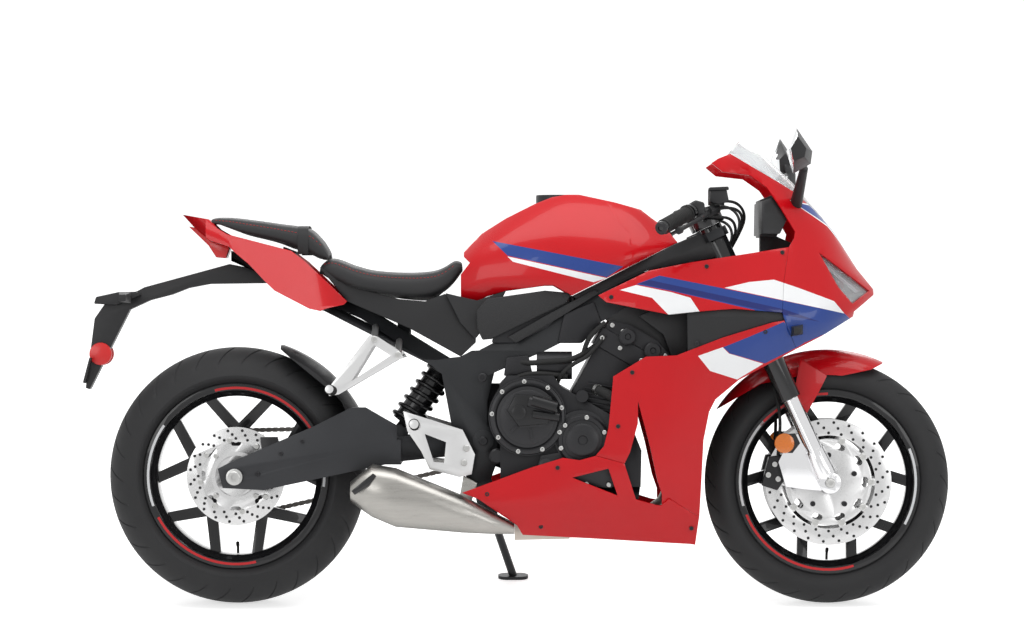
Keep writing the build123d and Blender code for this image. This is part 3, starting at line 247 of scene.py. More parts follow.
SCREEN = Finish("smoked_screen", (0.55, 0.58, 0.60), Pattern.CLEAR, 0.06, 0.0, 0.004, 0.05, 0.0, 0.5, 0.75, 0.55)
GLASS = Finish("lamp_glass_clear", (0.62, 0.65, 0.68), Pattern.CLEAR, 0.05, 0.0, 0.004, 0.05, 0.0, 1.0, 0.7, 0.5)
RED_LENS = Finish("red_lens", (0.60, 0.01, 0.012), Pattern.CLEAR, 0.14, 0.0, 0.003, 0.15, 0.3, 0.8, 0.25)
AMBER = Finish("amber_lens", (0.85, 0.22, 0.01), Pattern.CLEAR, 0.14, 0.0, 0.003, 0.15, 0.3, 0.8, 0.25)
MIRROR_GLASS = Finish("mirror_glass", (0.75, 0.77, 0.78), Pattern.CLEAR, 0.05, 1.0, 0.01, 0.03, 0.0)
RED_TAPE = Finish("rim_red", (0.55, 0.012, 0.016), rough=0.35, grain=0.0008, variation=0.1, bump=0.03, coat=0.4)
PALE_TAPE = Finish("rim_white", (0.62, 0.63, 0.64), rough=0.35, grain=0.0008, variation=0.06, bump=0.03, coat=0.4)
SPRING = Finish("spring_black", (0.010, 0.010, 0.011), rough=0.3, grain=0.001, variation=0.2, bump=0.1, coat=0.4)

DRESSING: dict[str, Finish] = {
    "front_rim": RIM_BLACK, "rear_rim": RIM_BLACK, "front_tyre": RUBBER, "rear_tyre": RUBBER,
    "front_discs": STEEL, "rear_disc": STEEL, "rear_sprocket": STEEL, "front_axle": BOLT, "rear_axle": BOLT,
    "fork_tubes": GLOSS_BLACK, "fork_legs": CHROME, "triple_clamps": FRAME_PAINT, "handlebars": GLOSS_BLACK,
    "controls": PLASTIC, "front_calipers": CALIPER, "front_fender": RED, "frame": FRAME_PAINT,
    "subframe": FRAME_PAINT, "swingarm": ARM_PAINT, "shock_absorber": SPRING, "drive_chain": CHAIN,
    "engine_block": ENGINE_CAST, "cylinder_head": ENGINE_CAST, "engine_covers": COVER_CAST,
    "radiator": RADIATOR, "exhaust_pipes": HEADER, "silencer": SILENCER, "tank": RED, "tank_cover": RED,
    "filler_cap": COVER_CAST, "rider_seat": SEAT, "passenger_seat": SEAT, "tail_cowl": RED,
    "tail_light": RED_LENS, "plate_bracket": PLASTIC, "upper_fairing": RED, "mid_fairing": RED,
    "lower_fairing": RED, "nose_cowl": RED, "vent_inserts": PLASTIC, "headlamps": GLASS, "windscreen": SCREEN,
    "mirrors": GLOSS_BLACK, "cockpit_trim": PLASTIC, "knee_pads": COARSE, "foot_pegs": BRACKET,
    "rear_caliper": CALIPER, "rear_hugger": PLASTIC, "side_stand": FRAME_PAINT, "indicators": PLASTIC,
}


def dress_nodes() -> None:
    """Gives every CAD node that stays in sight its finish."""
    for name, node in NODES.items():
        finish = DRESSING.get(name, PLASTIC)
        for slot in node.material_slots:
            slot.material = finish.material()
    LOG.info("dressed %d nodes", len(NODES))


# Tools of the bench


def deselect() -> None:
    """Leaves nothing selected."""
    for piece in list(bpy.context.selected_objects):
        piece.select_set(False)


def pick(piece: Piece) -> None:
    """Makes one piece the active and only selected one."""
    deselect()
    piece.select_set(True)
    bpy.context.view_layer.objects.active = piece


@contextmanager
def editing(piece: Piece) -> Iterator[None]:
    """Opens a piece in edit mode with all of it selected, and closes it again."""
    pick(piece)
    bpy.ops.object.mode_set(mode="EDIT")
    bpy.ops.mesh.select_all(action="SELECT")
    try:
        yield
    finally:
        bpy.ops.object.mode_set(mode="OBJECT")


def named(name: str) -> Piece:
    """Names the piece that was just added and gives it back."""
    piece = bpy.context.object
    piece.name = piece.data.name = name
    return piece


def outward(piece: Piece) -> Piece:
    """Closes seams and turns every face outwards."""
    with editing(piece):
        bpy.ops.mesh.remove_doubles(threshold=0.001)
        bpy.ops.mesh.normals_make_consistent(inside=False)
    return piece


def modified(piece: Piece, kind: str, **values: object) -> Piece:
    """Adds one modifier and applies it.

    Args:
        piece: the piece to change.
        kind: the modifier's type.
        values: the modifier's settings.

    Returns:
        The same piece.
    """
    pick(piece)
    modifier = piece.modifiers.new(kind.lower(), kind)
    for key, value in values.items():
        setattr(modifier, key, value)
    bpy.ops.object.modifier_apply(modifier=modifier.name)
    return piece


def bevelled(piece: Piece, width: float, segments: int = 2, angle: float = 35) -> Piece:
    """Rounds a piece's edges that are sharper than an angle."""
    return modified(piece, "BEVEL", width=width, segments=segments, limit_method="ANGLE",
                    angle_limit=math.radians(angle), harden_normals=False)


def smooth(piece: Piece, angle: float = 35) -> Piece:
    """Shades a piece smooth where its faces meet at less than an angle."""
    pick(piece)
    bpy.ops.object.shade_smooth_by_angle(angle=math.radians(angle))
    return piece


def plate(name: str, outline: Sequence[Point2], y_from: float, y_to: float, bevel: float = 1.0) -> Piece:
    """Makes a flat piece from its side outline.

    Args:
        name: the piece's name.
        outline: corners along and up, in millimetres.
        y_from: one face's place across the bike.
        y_to: the other face's place.
        bevel: the width of its rounded edges, or 0.

    Returns:
        The piece.
    """
    deselect()
    bpy.ops.mesh.primitive_circle_add(vertices=len(outline), fill_type="NGON")
    piece = named(name)
    for vertex, (x, z) in zip(piece.data.vertices, outline):
        vertex.co = (x, y_from, z)
    with editing(piece):
        bpy.ops.mesh.extrude_region_move(TRANSFORM_OT_translate={"value": (0, y_to - y_from, 0)})
    outward(piece)
    if bevel:
        bevelled(piece, bevel)
    return piece


def turned(name: str, profile: Sequence[Point2], centre: Point3, steps: int = 48, start: float = 0.0,
           sweep: float = 360.0) -> Piece:
    """Turns a closed profile about a cross axis.

    Args:
        name: the piece's name.
        profile: (radius, place across) corners, in millimetres.
        centre: the middle of the turn.
        steps: the number of steps of the turn.
        start: where it starts, in degrees up from forward.
        sweep: how far it turns, in degrees.

    Returns:
        The piece.
    """
    deselect()
    full = abs(sweep) >= 360
    bpy.ops.mesh.primitive_circle_add(vertices=len(profile), fill_type="NOTHING" if full else "NGON")
    piece = named(name)
    angle = math.radians(start)
    for vertex, (radius, y) in zip(piece.data.vertices, profile):
        vertex.co = (centre[0] + radius * math.cos(angle), centre[1] + y, centre[2] + radius * math.sin(angle))
    with editing(piece):
        bpy.ops.mesh.spin(steps=steps, angle=-math.radians(sweep), center=centre, axis=(0, 1, 0))
    return outward(piece)


def tube(name: str, points: Sequence[Point3], radius: float, sides: int = 3, smooth_line: bool = True) -> Piece:
    """Makes a round tube along a line of points.

    Args:
        name: the piece's name.
        points: the line's points, in millimetres.
        radius: the tube's radius.
        sides: the roundness of its section.
        smooth_line: whether the line is curved between its points.

    Returns:
        The tube as a mesh.
    """
    curve = bpy.data.curves.new(name, "CURVE")
    curve.dimensions = "3D"
    curve.bevel_depth = radius
    curve.bevel_resolution = sides
    curve.use_fill_caps = True
    curve.resolution_u = 8
    spline = curve.splines.new("NURBS" if smooth_line else "POLY")
    spline.points.add(len(points) - 1)
    for spot, point in zip(spline.points, points):
        spot.co = (*point, 1)
    if smooth_line:
        spline.order_u = 3
        spline.use_endpoint_u = True
    piece = bpy.data.objects.new(name, curve)
    bpy.context.scene.collection.objects.link(piece)
    pick(piece)
    bpy.ops.object.convert(target="MESH")
    piece = bpy.context.object
    piece.name = name
    return piece


def joined(name: str, pieces: Sequence[Piece]) -> Piece:
    """Joins pieces into the first of them."""
    deselect()
    for piece in pieces:
        piece.select_set(True)
    bpy.context.view_layer.objects.active = pieces[0]
    if len(pieces) > 1:
        bpy.ops.object.join()
    return named(name)


def copied(piece: Piece, name: str, matrix: Matrix) -> Piece:
    """Copies a piece with its own mesh, moved by a matrix."""
    twin = piece.copy()
    twin.data = piece.data.copy()
    twin.name = twin.data.name = name
    bpy.context.scene.collection.objects.link(twin)
    twin.data.transform(matrix)
    return twin


def both(piece: Piece) -> Piece:
    """Adds a piece's mirror image on the other side of the bike."""
    twin = copied(piece, piece.name + "_left", Matrix.Scale(-1, 4, (0, 1, 0)))
    twin.data.flip_normals()
    return joined(piece.name, [piece, twin])


def repeated(piece: Piece, name: str, matrices: Sequence[Matrix]) -> Piece:
    """Copies a piece to many places and joins the copies; the model itself is removed."""
    copies = [copied(piece, f"{name}_{i}", matrix) for i, matrix in enumerate(matrices)]
    bpy.data.objects.remove(piece)
    return joined(name, copies)


def around(centre: Sequence[float], degrees: float) -> Matrix:
    """Turns about a cross axis through a centre, forward going up."""
    move = Matrix.Translation(Vector(centre))
    return move @ Matrix.Rotation(-math.radians(degrees), 4, "Y") @ move.inverted()


def facing(place: Sequence[float], direction: Sequence[float]) -> Matrix:
    """Puts a piece that points up at a place, pointing a way."""
    turn = Vector(direction).to_track_quat("Z", "Y").to_matrix().to_4x4()
    return Matrix.Translation(Vector(place)) @ turn


def paint(piece: Piece, *finishes: Finish) -> Piece:
    """Gives a piece its finishes, one slot each."""
    piece.data.materials.clear()
    for finish in finishes:
        piece.data.materials.append(finish.material())
    return piece


def mount(piece: Piece, body: str, *nodes: str, slot: str = "", angle: float = 35) -> Piece:
    """Puts a finished piece on its body.

    Args:
        piece: the piece, still in millimetres on the upright bike.
        body: the CAD body that it rides on.
        nodes: the CAD nodes that it stands for.
        slot: the record's material slot; not used.
        angle: the shading angle.

    Returns:
        The piece in its place.
    """
    piece.data.transform(BIKE)
    smooth(piece, angle)
    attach(piece, body)
    if nodes:
        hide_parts(*nodes)
    LOG.info("%s: %d faces", piece.name, len(piece.data.polygons))
    return piece


def inside(spot: Point2, outline: Sequence[Point2]) -> bool:
    """Tells whether a spot lies inside an outline."""
    x, z = spot
    hit = False
    for (ax, az), (bx, bz) in zip(outline, [*outline[1:], outline[0]]):
        if (az > z) != (bz > z) and x < (bx - ax) * (z - az) / (bz - az) + ax:
            hit = not hit
    return hit


def chosen_faces(piece: Piece, wanted: Callable[[bpy.types.MeshPolygon], bool]) -> bool:
    """Selects the faces that a test picks, ready for edit mode.

    Args:
        piece: the piece to look at.
        wanted: the test on a face.

    Returns:
        Whether any face is picked.
    """
    bpy.context.tool_settings.mesh_select_mode = (False, False, True)
    flags = [wanted(polygon) for polygon in piece.data.polygons]
    piece.data.polygons.foreach_set("select", flags)
    return any(flags)


def score(piece: Piece, outline: Sequence[Point2]) -> None:
    """Cuts a piece's faces along a side outline, and keeps both sides.

    Args:
        piece: the piece, in millimetres on the upright bike.
        outline: the outline's corners, along and up.
    """
    for (ax, az), (bx, bz) in zip(outline, [*outline[1:], outline[0]]):
        low, high = (min(ax, bx), min(az, bz)), (max(ax, bx), max(az, bz))

        def near(polygon: bpy.types.MeshPolygon) -> bool:
            """Tells whether a face reaches the run's box."""
            corners = [piece.data.vertices[i].co for i in polygon.vertices]
            return (max(c.x for c in corners) >= low[0] - 0.01 and min(c.x for c in corners) <= high[0] + 0.01
                    and max(c.z for c in corners) >= low[1] - 0.01 and min(c.z for c in corners) <= high[1] + 0.01)

        if chosen_faces(piece, near):
            pick(piece)
            bpy.ops.object.mode_set(mode="EDIT")
            square = Vector((az - bz, 0, bx - ax)).normalized()
            bpy.ops.mesh.bisect(plane_co=(ax, 0, az), plane_no=square)
            bpy.ops.object.mode_set(mode="OBJECT")


def without(piece: Piece, unwanted: Callable[[bpy.types.MeshPolygon], bool]) -> Piece:
    """Deletes the faces that a test picks."""
    if chosen_faces(piece, unwanted):
        pick(piece)
        bpy.ops.object.mode_set(mode="EDIT")
        bpy.ops.mesh.delete(type="FACE")
        bpy.ops.object.mode_set(mode="OBJECT")
    return piece


def tinted(piece: Piece, outline: Sequence[Point2], slot: int) -> None:
    """Gives the faces inside a side outline another material slot."""
    score(piece, outline)
    for polygon in piece.data.polygons:
        if inside((polygon.center.x, polygon.center.z), outline):
            polygon.material_index = slot


def trimmed(piece: Piece, outline: Sequence[Point2], keep: bool = True) -> Piece:
    """Cuts a sheet to a side outline.

    Args:
        piece: the sheet.
        outline: the side outline.
        keep: whether what lies inside stays, or goes.

    Returns:
        The same piece.
    """
    score(piece, outline)
    return without(piece, lambda polygon: inside((polygon.center.x, polygon.center.z), outline) != keep)


@dataclass
class Wheel:
    """A tyre with grooves and a rim with its taped arcs."""

    name: str
    body: str
    centre: Point3
    radius: float
    half: float
    crown: float
    rim_half: float
    tape: list[tuple[float, float, Finish]]
    seat: float = 216.0
    sectors: int = 30
    groove_depth: float = 3.0
    groove_half: float = 1.9

    def build(self) -> None:
        """Builds the tyre, the arcs and the valve."""
        self._tyre()
        self._arcs()
        self._valve()

    def _outline(self) -> list[Point2]:
        """Lists the tyre's outer section from one bead to the other.

        Returns:
            (place across, radius) points.
        """
        edge = self.half - 4
        middle = self.radius - self.crown
        limit = math.asin(edge / self.crown)
        bead = self.rim_half - 6.6
        low, side = self.seat + 11, ((middle + math.sqrt(self.crown ** 2 - edge ** 2)) + self.seat) / 2 + 4
        top = middle + math.sqrt(self.crown ** 2 - edge ** 2)
        wall = [(bead, self.seat - 2), (bead, low)]
        for k in range(1, 6):
            t = k / 6
            bulge = math.sin(t * math.pi) * (self.half - (bead + edge) / 2) * 0.98
            wall.append((bead + (edge - bead) * t + bulge, low + (top - low) * t + (side - (low + top) / 2) * 0.2))
        crown = [(self.crown * math.sin(a), middle + self.crown * math.cos(a))
                 for a in (limit * (1 - k / 12) for k in range(0, 13))]
        right = [*wall, *crown]
        return [(-y, r) for y, r in right] + [(y, r) for y, r in reversed(right[:-1])]

    def _tyre(self) -> None:
        """Builds one sector with its grooves and copies it round."""
        outline = self._outline()
        pitch = 360 / self.sectors
        wide = math.degrees(self.groove_half / self.radius)
        columns = [0.0, pitch * 0.25, pitch * 0.5 - 1.6 * wide, pitch * 0.5 - 0.8 * wide, pitch * 0.5 + 0.8 * wide,
                   pitch * 0.5 + 1.6 * wide, pitch * 0.75, pitch]
        count = len(outline) - 1
        deselect()
        bpy.ops.mesh.primitive_grid_add(x_subdivisions=len(columns) - 1, y_subdivisions=count)
        sector = named(self.name + "_sector")
        reach = self.half * 0.86
        for i, vertex in enumerate(sector.data.vertices):
            row, column = divmod(i, len(columns))
            y, radius = outline[row]
            share = abs(y) / self.half
            sweep = 9.5 * (abs(y) / reach) ** 1.4 * (1 if y < 0 else 0.9)
            angle = math.radians(columns[column] + sweep + (pitch / 2 if y > 0 else 0))
            grooved = columns[3] <= columns[column] <= columns[4]
            if grooved and 0.16 < share < 0.86 and radius > self.seat + 30:
                radius -= self.groove_depth
            vertex.co = (self.centre[0] + radius * math.cos(angle), y, self.centre[2] + radius * math.sin(angle))
        tyre = repeated(sector, self.name, [around(self.centre, pitch * k) for k in range(self.sectors)])
        outward(tyre)
        mount(paint(tyre, RUBBER), self.body, self.name, slot="tyre_rubber", angle=30)

    def _arcs(self) -> None:
        """Lays the coloured arcs on the rim's side, on both sides."""
        face = self.rim_half + 0.35
        arcs = []
        for start, end, finish in self.tape:
            profile = [(212.5, -face), (218.5, -face), (218.5, -face + 0.8), (212.5, -face + 0.8)]
            arc = turned("arc", profile, self.centre, max(4, round((end - start) / 4)), start, end - start)
            arcs.append(paint(arc, finish))
        mount(both(joined(self.name.replace("tyre", "rim_tape"), arcs)), self.body, slot="wheel_paint")

    def _valve(self) -> None:
        """Adds the angled valve and its cap."""
        x, _, z = self.centre
        stem = tube("stem", [(x, -4, z - 193), (x, -6, z - 180), (x, -14, z - 172)], 3.2)
        cap = tube("cap", [(x, -13, z - 173), (x, -22, z - 166)], 4.2, smooth_line=False)
        valve = joined(self.name.replace("tyre", "valve"), [paint(stem, SOFT_RUBBER), paint(cap, DARK_BOLT)])
        mount(valve, self.body)


def front_wheel() -> Wheel:
    """Gives the front wheel with its arcs."""
    return Wheel("front_tyre", "front_wheel", FRONT_HUB, 300, 60, 66, 50, [
        (22, 73, PALE_TAPE), (287, 372, RED_TAPE), (140, 190, RED_TAPE), (196, 255, PALE_TAPE),
    ])


def rear_wheel() -> Wheel:
    """Gives the rear wheel with its arcs."""
    return Wheel("rear_tyre", "rear_wheel", REAR_HUB, 315, 90, 92, 75, [
        (104, 198, RED_TAPE), (200, 255, PALE_TAPE), (283, 358, RED_TAPE), (30, 67, PALE_TAPE),
    ])


@dataclass
class Fasteners:
    """Bolt heads, each with a bevelled rim and a hexagonal socket."""

    def model(self, radius: float, height: float, finish: Finish) -> Piece:
        """Models one bolt head that points up.

        Args:
            radius: the head's radius.
            height: the head's height.
            finish: the head's finish.

        Returns:
            The head.
        """
        deselect()
        bpy.ops.mesh.primitive_cylinder_add(vertices=18, radius=radius, depth=height,
                                            location=(0, 0, height / 2 - 0.3))
        head = named("bolt_head")
        bpy.ops.object.transform_apply(location=True, rotation=True, scale=True)
        chosen_faces(head, lambda polygon: polygon.normal.z > 0.9)
        bpy.ops.object.mode_set(mode="EDIT")
        bpy.ops.mesh.inset(thickness=radius * 0.16, depth=radius * 0.1)
        bpy.ops.mesh.inset(thickness=radius * 0.36)
        bpy.ops.mesh.extrude_region_move(TRANSFORM_OT_translate={"value": (0, 0, -height * 0.6)})
        bpy.ops.object.mode_set(mode="OBJECT")
        return paint(head, finish)

    def set_out(self, name: str, body: str, radius: float, height: float, finish: Finish,
                spots: Sequence[tuple[Point3, Point3]]) -> None:
        """Copies one head to many places on a body.

        Args:
            name: the piece's name.
            body: the body that carries them.
            radius: the heads' radius.
            height: the heads' height.
            finish: the heads' finish.
            spots: a place and a direction for each.
        """
        heads = repeated(self.model(radius, height, finish), name, [facing(*spot) for spot in spots])
        mount(heads, body, angle=30)


def ring_spots(centre: Point3, radius: float, count: int, y: float, start: float = 0.0) -> list:
    """Lists places round a cross axis on its right-hand side.

    Args:
        centre: the ring's centre.
        radius: the ring's radius.
        count: the number of places.
        y: the place across the bike.
        start: the first place's angle.

    Returns:
        A place and a direction for each.
    """
    way = (0.0, -1.0 if y < 0 else 1.0, 0.0)
    spots = []
    for k in range(count):
        angle = math.radians(start + 360 * k / count)
        spots.append(((centre[0] + radius * math.cos(angle), y, centre[2] + radius * math.sin(angle)), way))
    return spots


@dataclass
class Discs:
    """Brake discs' drilled holes, bobbins and bolts."""

    def build(self) -> None:
        """Builds the details of the front and rear discs."""
        self._holes("front", "front_wheel", FRONT_HUB, (70.6, -70.6), (120, 133, 146), 24)
        self._holes("rear", "rear_wheel", REAR_HUB, (-86.6,), (92, 102, 112), 20)
        fasteners = Fasteners()
        front = ring_spots(FRONT_HUB, 104, 10, -70.2) + ring_spots(FRONT_HUB, 104, 10, 70.2)
        fasteners.set_out("front_bobbins", "front_wheel", 8.2, 3.4, BOLT, front)
        bolts = ring_spots(FRONT_HUB, 66, 5, -70.2, 18) + ring_spots(FRONT_HUB, 66, 5, 70.2, 18)
        fasteners.set_out("front_disc_bolts", "front_wheel", 6.5, 5, DARK_BOLT, bolts)
        fasteners.set_out("rear_disc_bolts", "rear_wheel", 6.5, 5, BOLT, ring_spots(REAR_HUB, 69, 4, -86.4, 45))
        fasteners.set_out("rear_bobbins", "rear_wheel", 7, 3.0, BOLT, ring_spots(REAR_HUB, 88, 8, -86.2, 10))
        ring = turned("rear_pulse_ring", [(50, -89), (60, -89), (60, -87), (50, -87)], REAR_HUB, 60)
        mount(paint(ring, STEEL), "rear_wheel")

    def _holes(self, name: str, body: str, centre: Point3, faces: tuple[float, ...], radii: tuple[int, ...],
               count: int) -> None:
        """Sets dark, chamfered bores into a disc's faces; their gloss black is painted shade for the dark seen through
        each drilled hole.

        Args:
            name: front or rear.
            body: the wheel's body.
            centre: the hub.
            faces: the faces' places across.
            radii: the rows' radii.
            count: the number in each row.
        """
        deselect()
        bpy.ops.mesh.primitive_cylinder_add(vertices=14, radius=3.7, depth=0.9)
        bore = named("bore")
        chosen_faces(bore, lambda polygon: polygon.normal.z > 0.9)
        bpy.ops.object.mode_set(mode="EDIT")
        bpy.ops.mesh.inset(thickness=0.7, depth=-0.5)
        bpy.ops.object.mode_set(mode="OBJECT")
        # the bores' gloss black is painted shade: a dark cap on the disc face stands in for the shade seen through
        # each hole
        paint(bore, GLOSS_BLACK)
        spots = [spot for y in faces for row, radius in enumerate(radii)
                 for spot in ring_spots(centre, radius, count, y, row * 5.0)]
        mount(repeated(bore, name + "_disc_bores", [facing(*spot) for spot in spots]), body)


def eased(table: Sequence[tuple[float, ...]], at: float) -> list[float]:
    """Reads a table of sections between its rows, on smooth lines.

    Args:
        table: rows of a place and its values.
        at: the place to read.

    Returns:
        The values there.
    """
    row = max(0, min(len(table) - 2, sum(1 for r in table if r[0] <= at) - 1))
    before, left, right, after = (table[max(0, min(len(table) - 1, row + k))] for k in (-1, 0, 1, 2))
    span = right[0] - left[0]
    t = (at - left[0]) / span
    values = []
    for i in range(1, len(left)):
        run_in = (right[i] - before[i]) / (right[0] - before[0]) * span
        run_out = (after[i] - left[i]) / (after[0] - left[0]) * span
        values.append(
            (2 * t ** 3 - 3 * t ** 2 + 1) * left[i] + (t ** 3 - 2 * t ** 2 + t) * run_in
            + (3 * t ** 2 - 2 * t ** 3) * right[i] + (t ** 3 - t ** 2) * run_out
        )
    return values


def swept(chain: Sequence[Point2], cuts: int, fullness: float) -> list[Point2]:
    """Divides a section's runs and swells them a little.

    Args:
        chain: the section's points.
        cuts: the number of parts of each run.
        fullness: how round the runs are, from 0 to 1.

    Returns:
        The finer chain.
    """
    points = [Vector(p) for p in chain]
    fine = []
    for i in range(len(points) - 1):
        a, b = points[max(i - 1, 0)], points[i]
        c, d = points[i + 1], points[min(i + 2, len(points) - 1)]
        for k in range(cuts):
            t = k / cuts
            line = b.lerp(c, t)
            curve = 0.5 * (2 * b + (c - a) * t + (2 * a - 5 * b + 4 * c - d) * t * t
                           + (3 * b - a - 3 * c + d) * t ** 3)
            fine.append(tuple(line.lerp(curve, fullness)))
    return [*fine, tuple(points[-1])]


def sheet_from(name: str, table: Sequence[tuple[float, ...]], step: float, cuts: int, fullness: float) -> Piece:
    """Shapes a grid over a table of half sections.

    Args:
        name: the sheet's name.
        table: rows of x, then (half width, height) pairs laid flat.
        step: the grid's step along the bike.
        cuts: the grid's parts in each run of a section.
        fullness: how round the runs are.

    Returns:
        The right-hand sheet.
    """
    first, last = table[0][0], table[-1][0]
    count = max(2, round((last - first) / step))
    rows = []
    for i in range(count + 1):
        x = first + (last - first) * i / count
        values = eased(table, min(x, last - 0.001))
        chain = [(-values[k], values[k + 1]) for k in range(0, len(values), 2)]
        rows.append([(x, min(y, 0), z) for y, z in swept(chain, cuts, fullness)])
    across = len(rows[0]) - 1
    deselect()
    bpy.ops.mesh.primitive_grid_add(x_subdivisions=across, y_subdivisions=count)
    piece = named(name)
    for i, vertex in enumerate(piece.data.vertices):
        vertex.co = rows[i // (across + 1)][i % (across + 1)]
    return piece


def flat(rows: Sequence[tuple]) -> list[tuple[float, ...]]:
    """Lays a table's pairs flat, one row of numbers each."""
    return [(row[0], *[value for pair in row[1:] for value in pair]) for row in rows]


FAIRING_FORM = flat([
    (130, (118, 140), (200, 300), (206, 450), (198, 600), (178, 700), (160, 775), (150, 800), (140, 830)),
    (300, (122, 140), (186, 300), (206, 450), (215, 600), (218, 705), (194, 800), (182, 830), (170, 870)),
    (450, (110, 140), (160, 300), (198, 450), (230, 600), (238, 705), (202, 830), (188, 900), (150, 1105)),
    (560, (104, 300), (150, 420), (190, 520), (222, 620), (234, 705), (194, 850), (168, 950), (112, 1100)),
    (650, (104, 560), (150, 590), (185, 620), (208, 660), (214, 710), (170, 850), (128, 960), (60, 1040)),
    (720, (84, 610), (130, 632), (160, 657), (178, 690), (180, 735), (132, 850), (88, 925), (0, 955)),
    (790, (55, 680), (82, 692), (102, 707), (113, 727), (108, 757), (76, 805), (46, 828), (0, 838)),
    (842, (9, 738), (15, 741), (20, 745), (25, 752), (25, 762), (18, 770), (10, 774), (0, 776)),
])
BELLY_FORM = flat([
    (-180, (150, 140), (196, 240), (196, 300), (190, 360)), (-40, (150, 140), (206, 250), (206, 320), (200, 380)),
    (150, (124, 140), (190, 250), (206, 330), (206, 400)), (300, (122, 140), (176, 260), (192, 330), (198, 400)),
    (420, (112, 140), (158, 260), (176, 330), (186, 400)),
])
TANK_FORM = [
    (-175, 78, 730, 92, 770, 84, 830, 40, 866, 0, 870), (-124, 96, 745, 116, 790, 104, 860, 48, 910, 0, 916),
    (-40, 120, 755, 142, 800, 126, 890, 58, 963, 0, 969), (60, 140, 745, 160, 800, 148, 900, 66, 1001, 0, 1003),
    (150, 146, 750, 165, 820, 150, 900, 72, 998, 0, 1001), (250, 132, 815, 150, 850, 132, 900, 70, 974, 0, 980),
    (358, 86, 850, 96, 872, 84, 890, 50, 905, 0, 908),
]


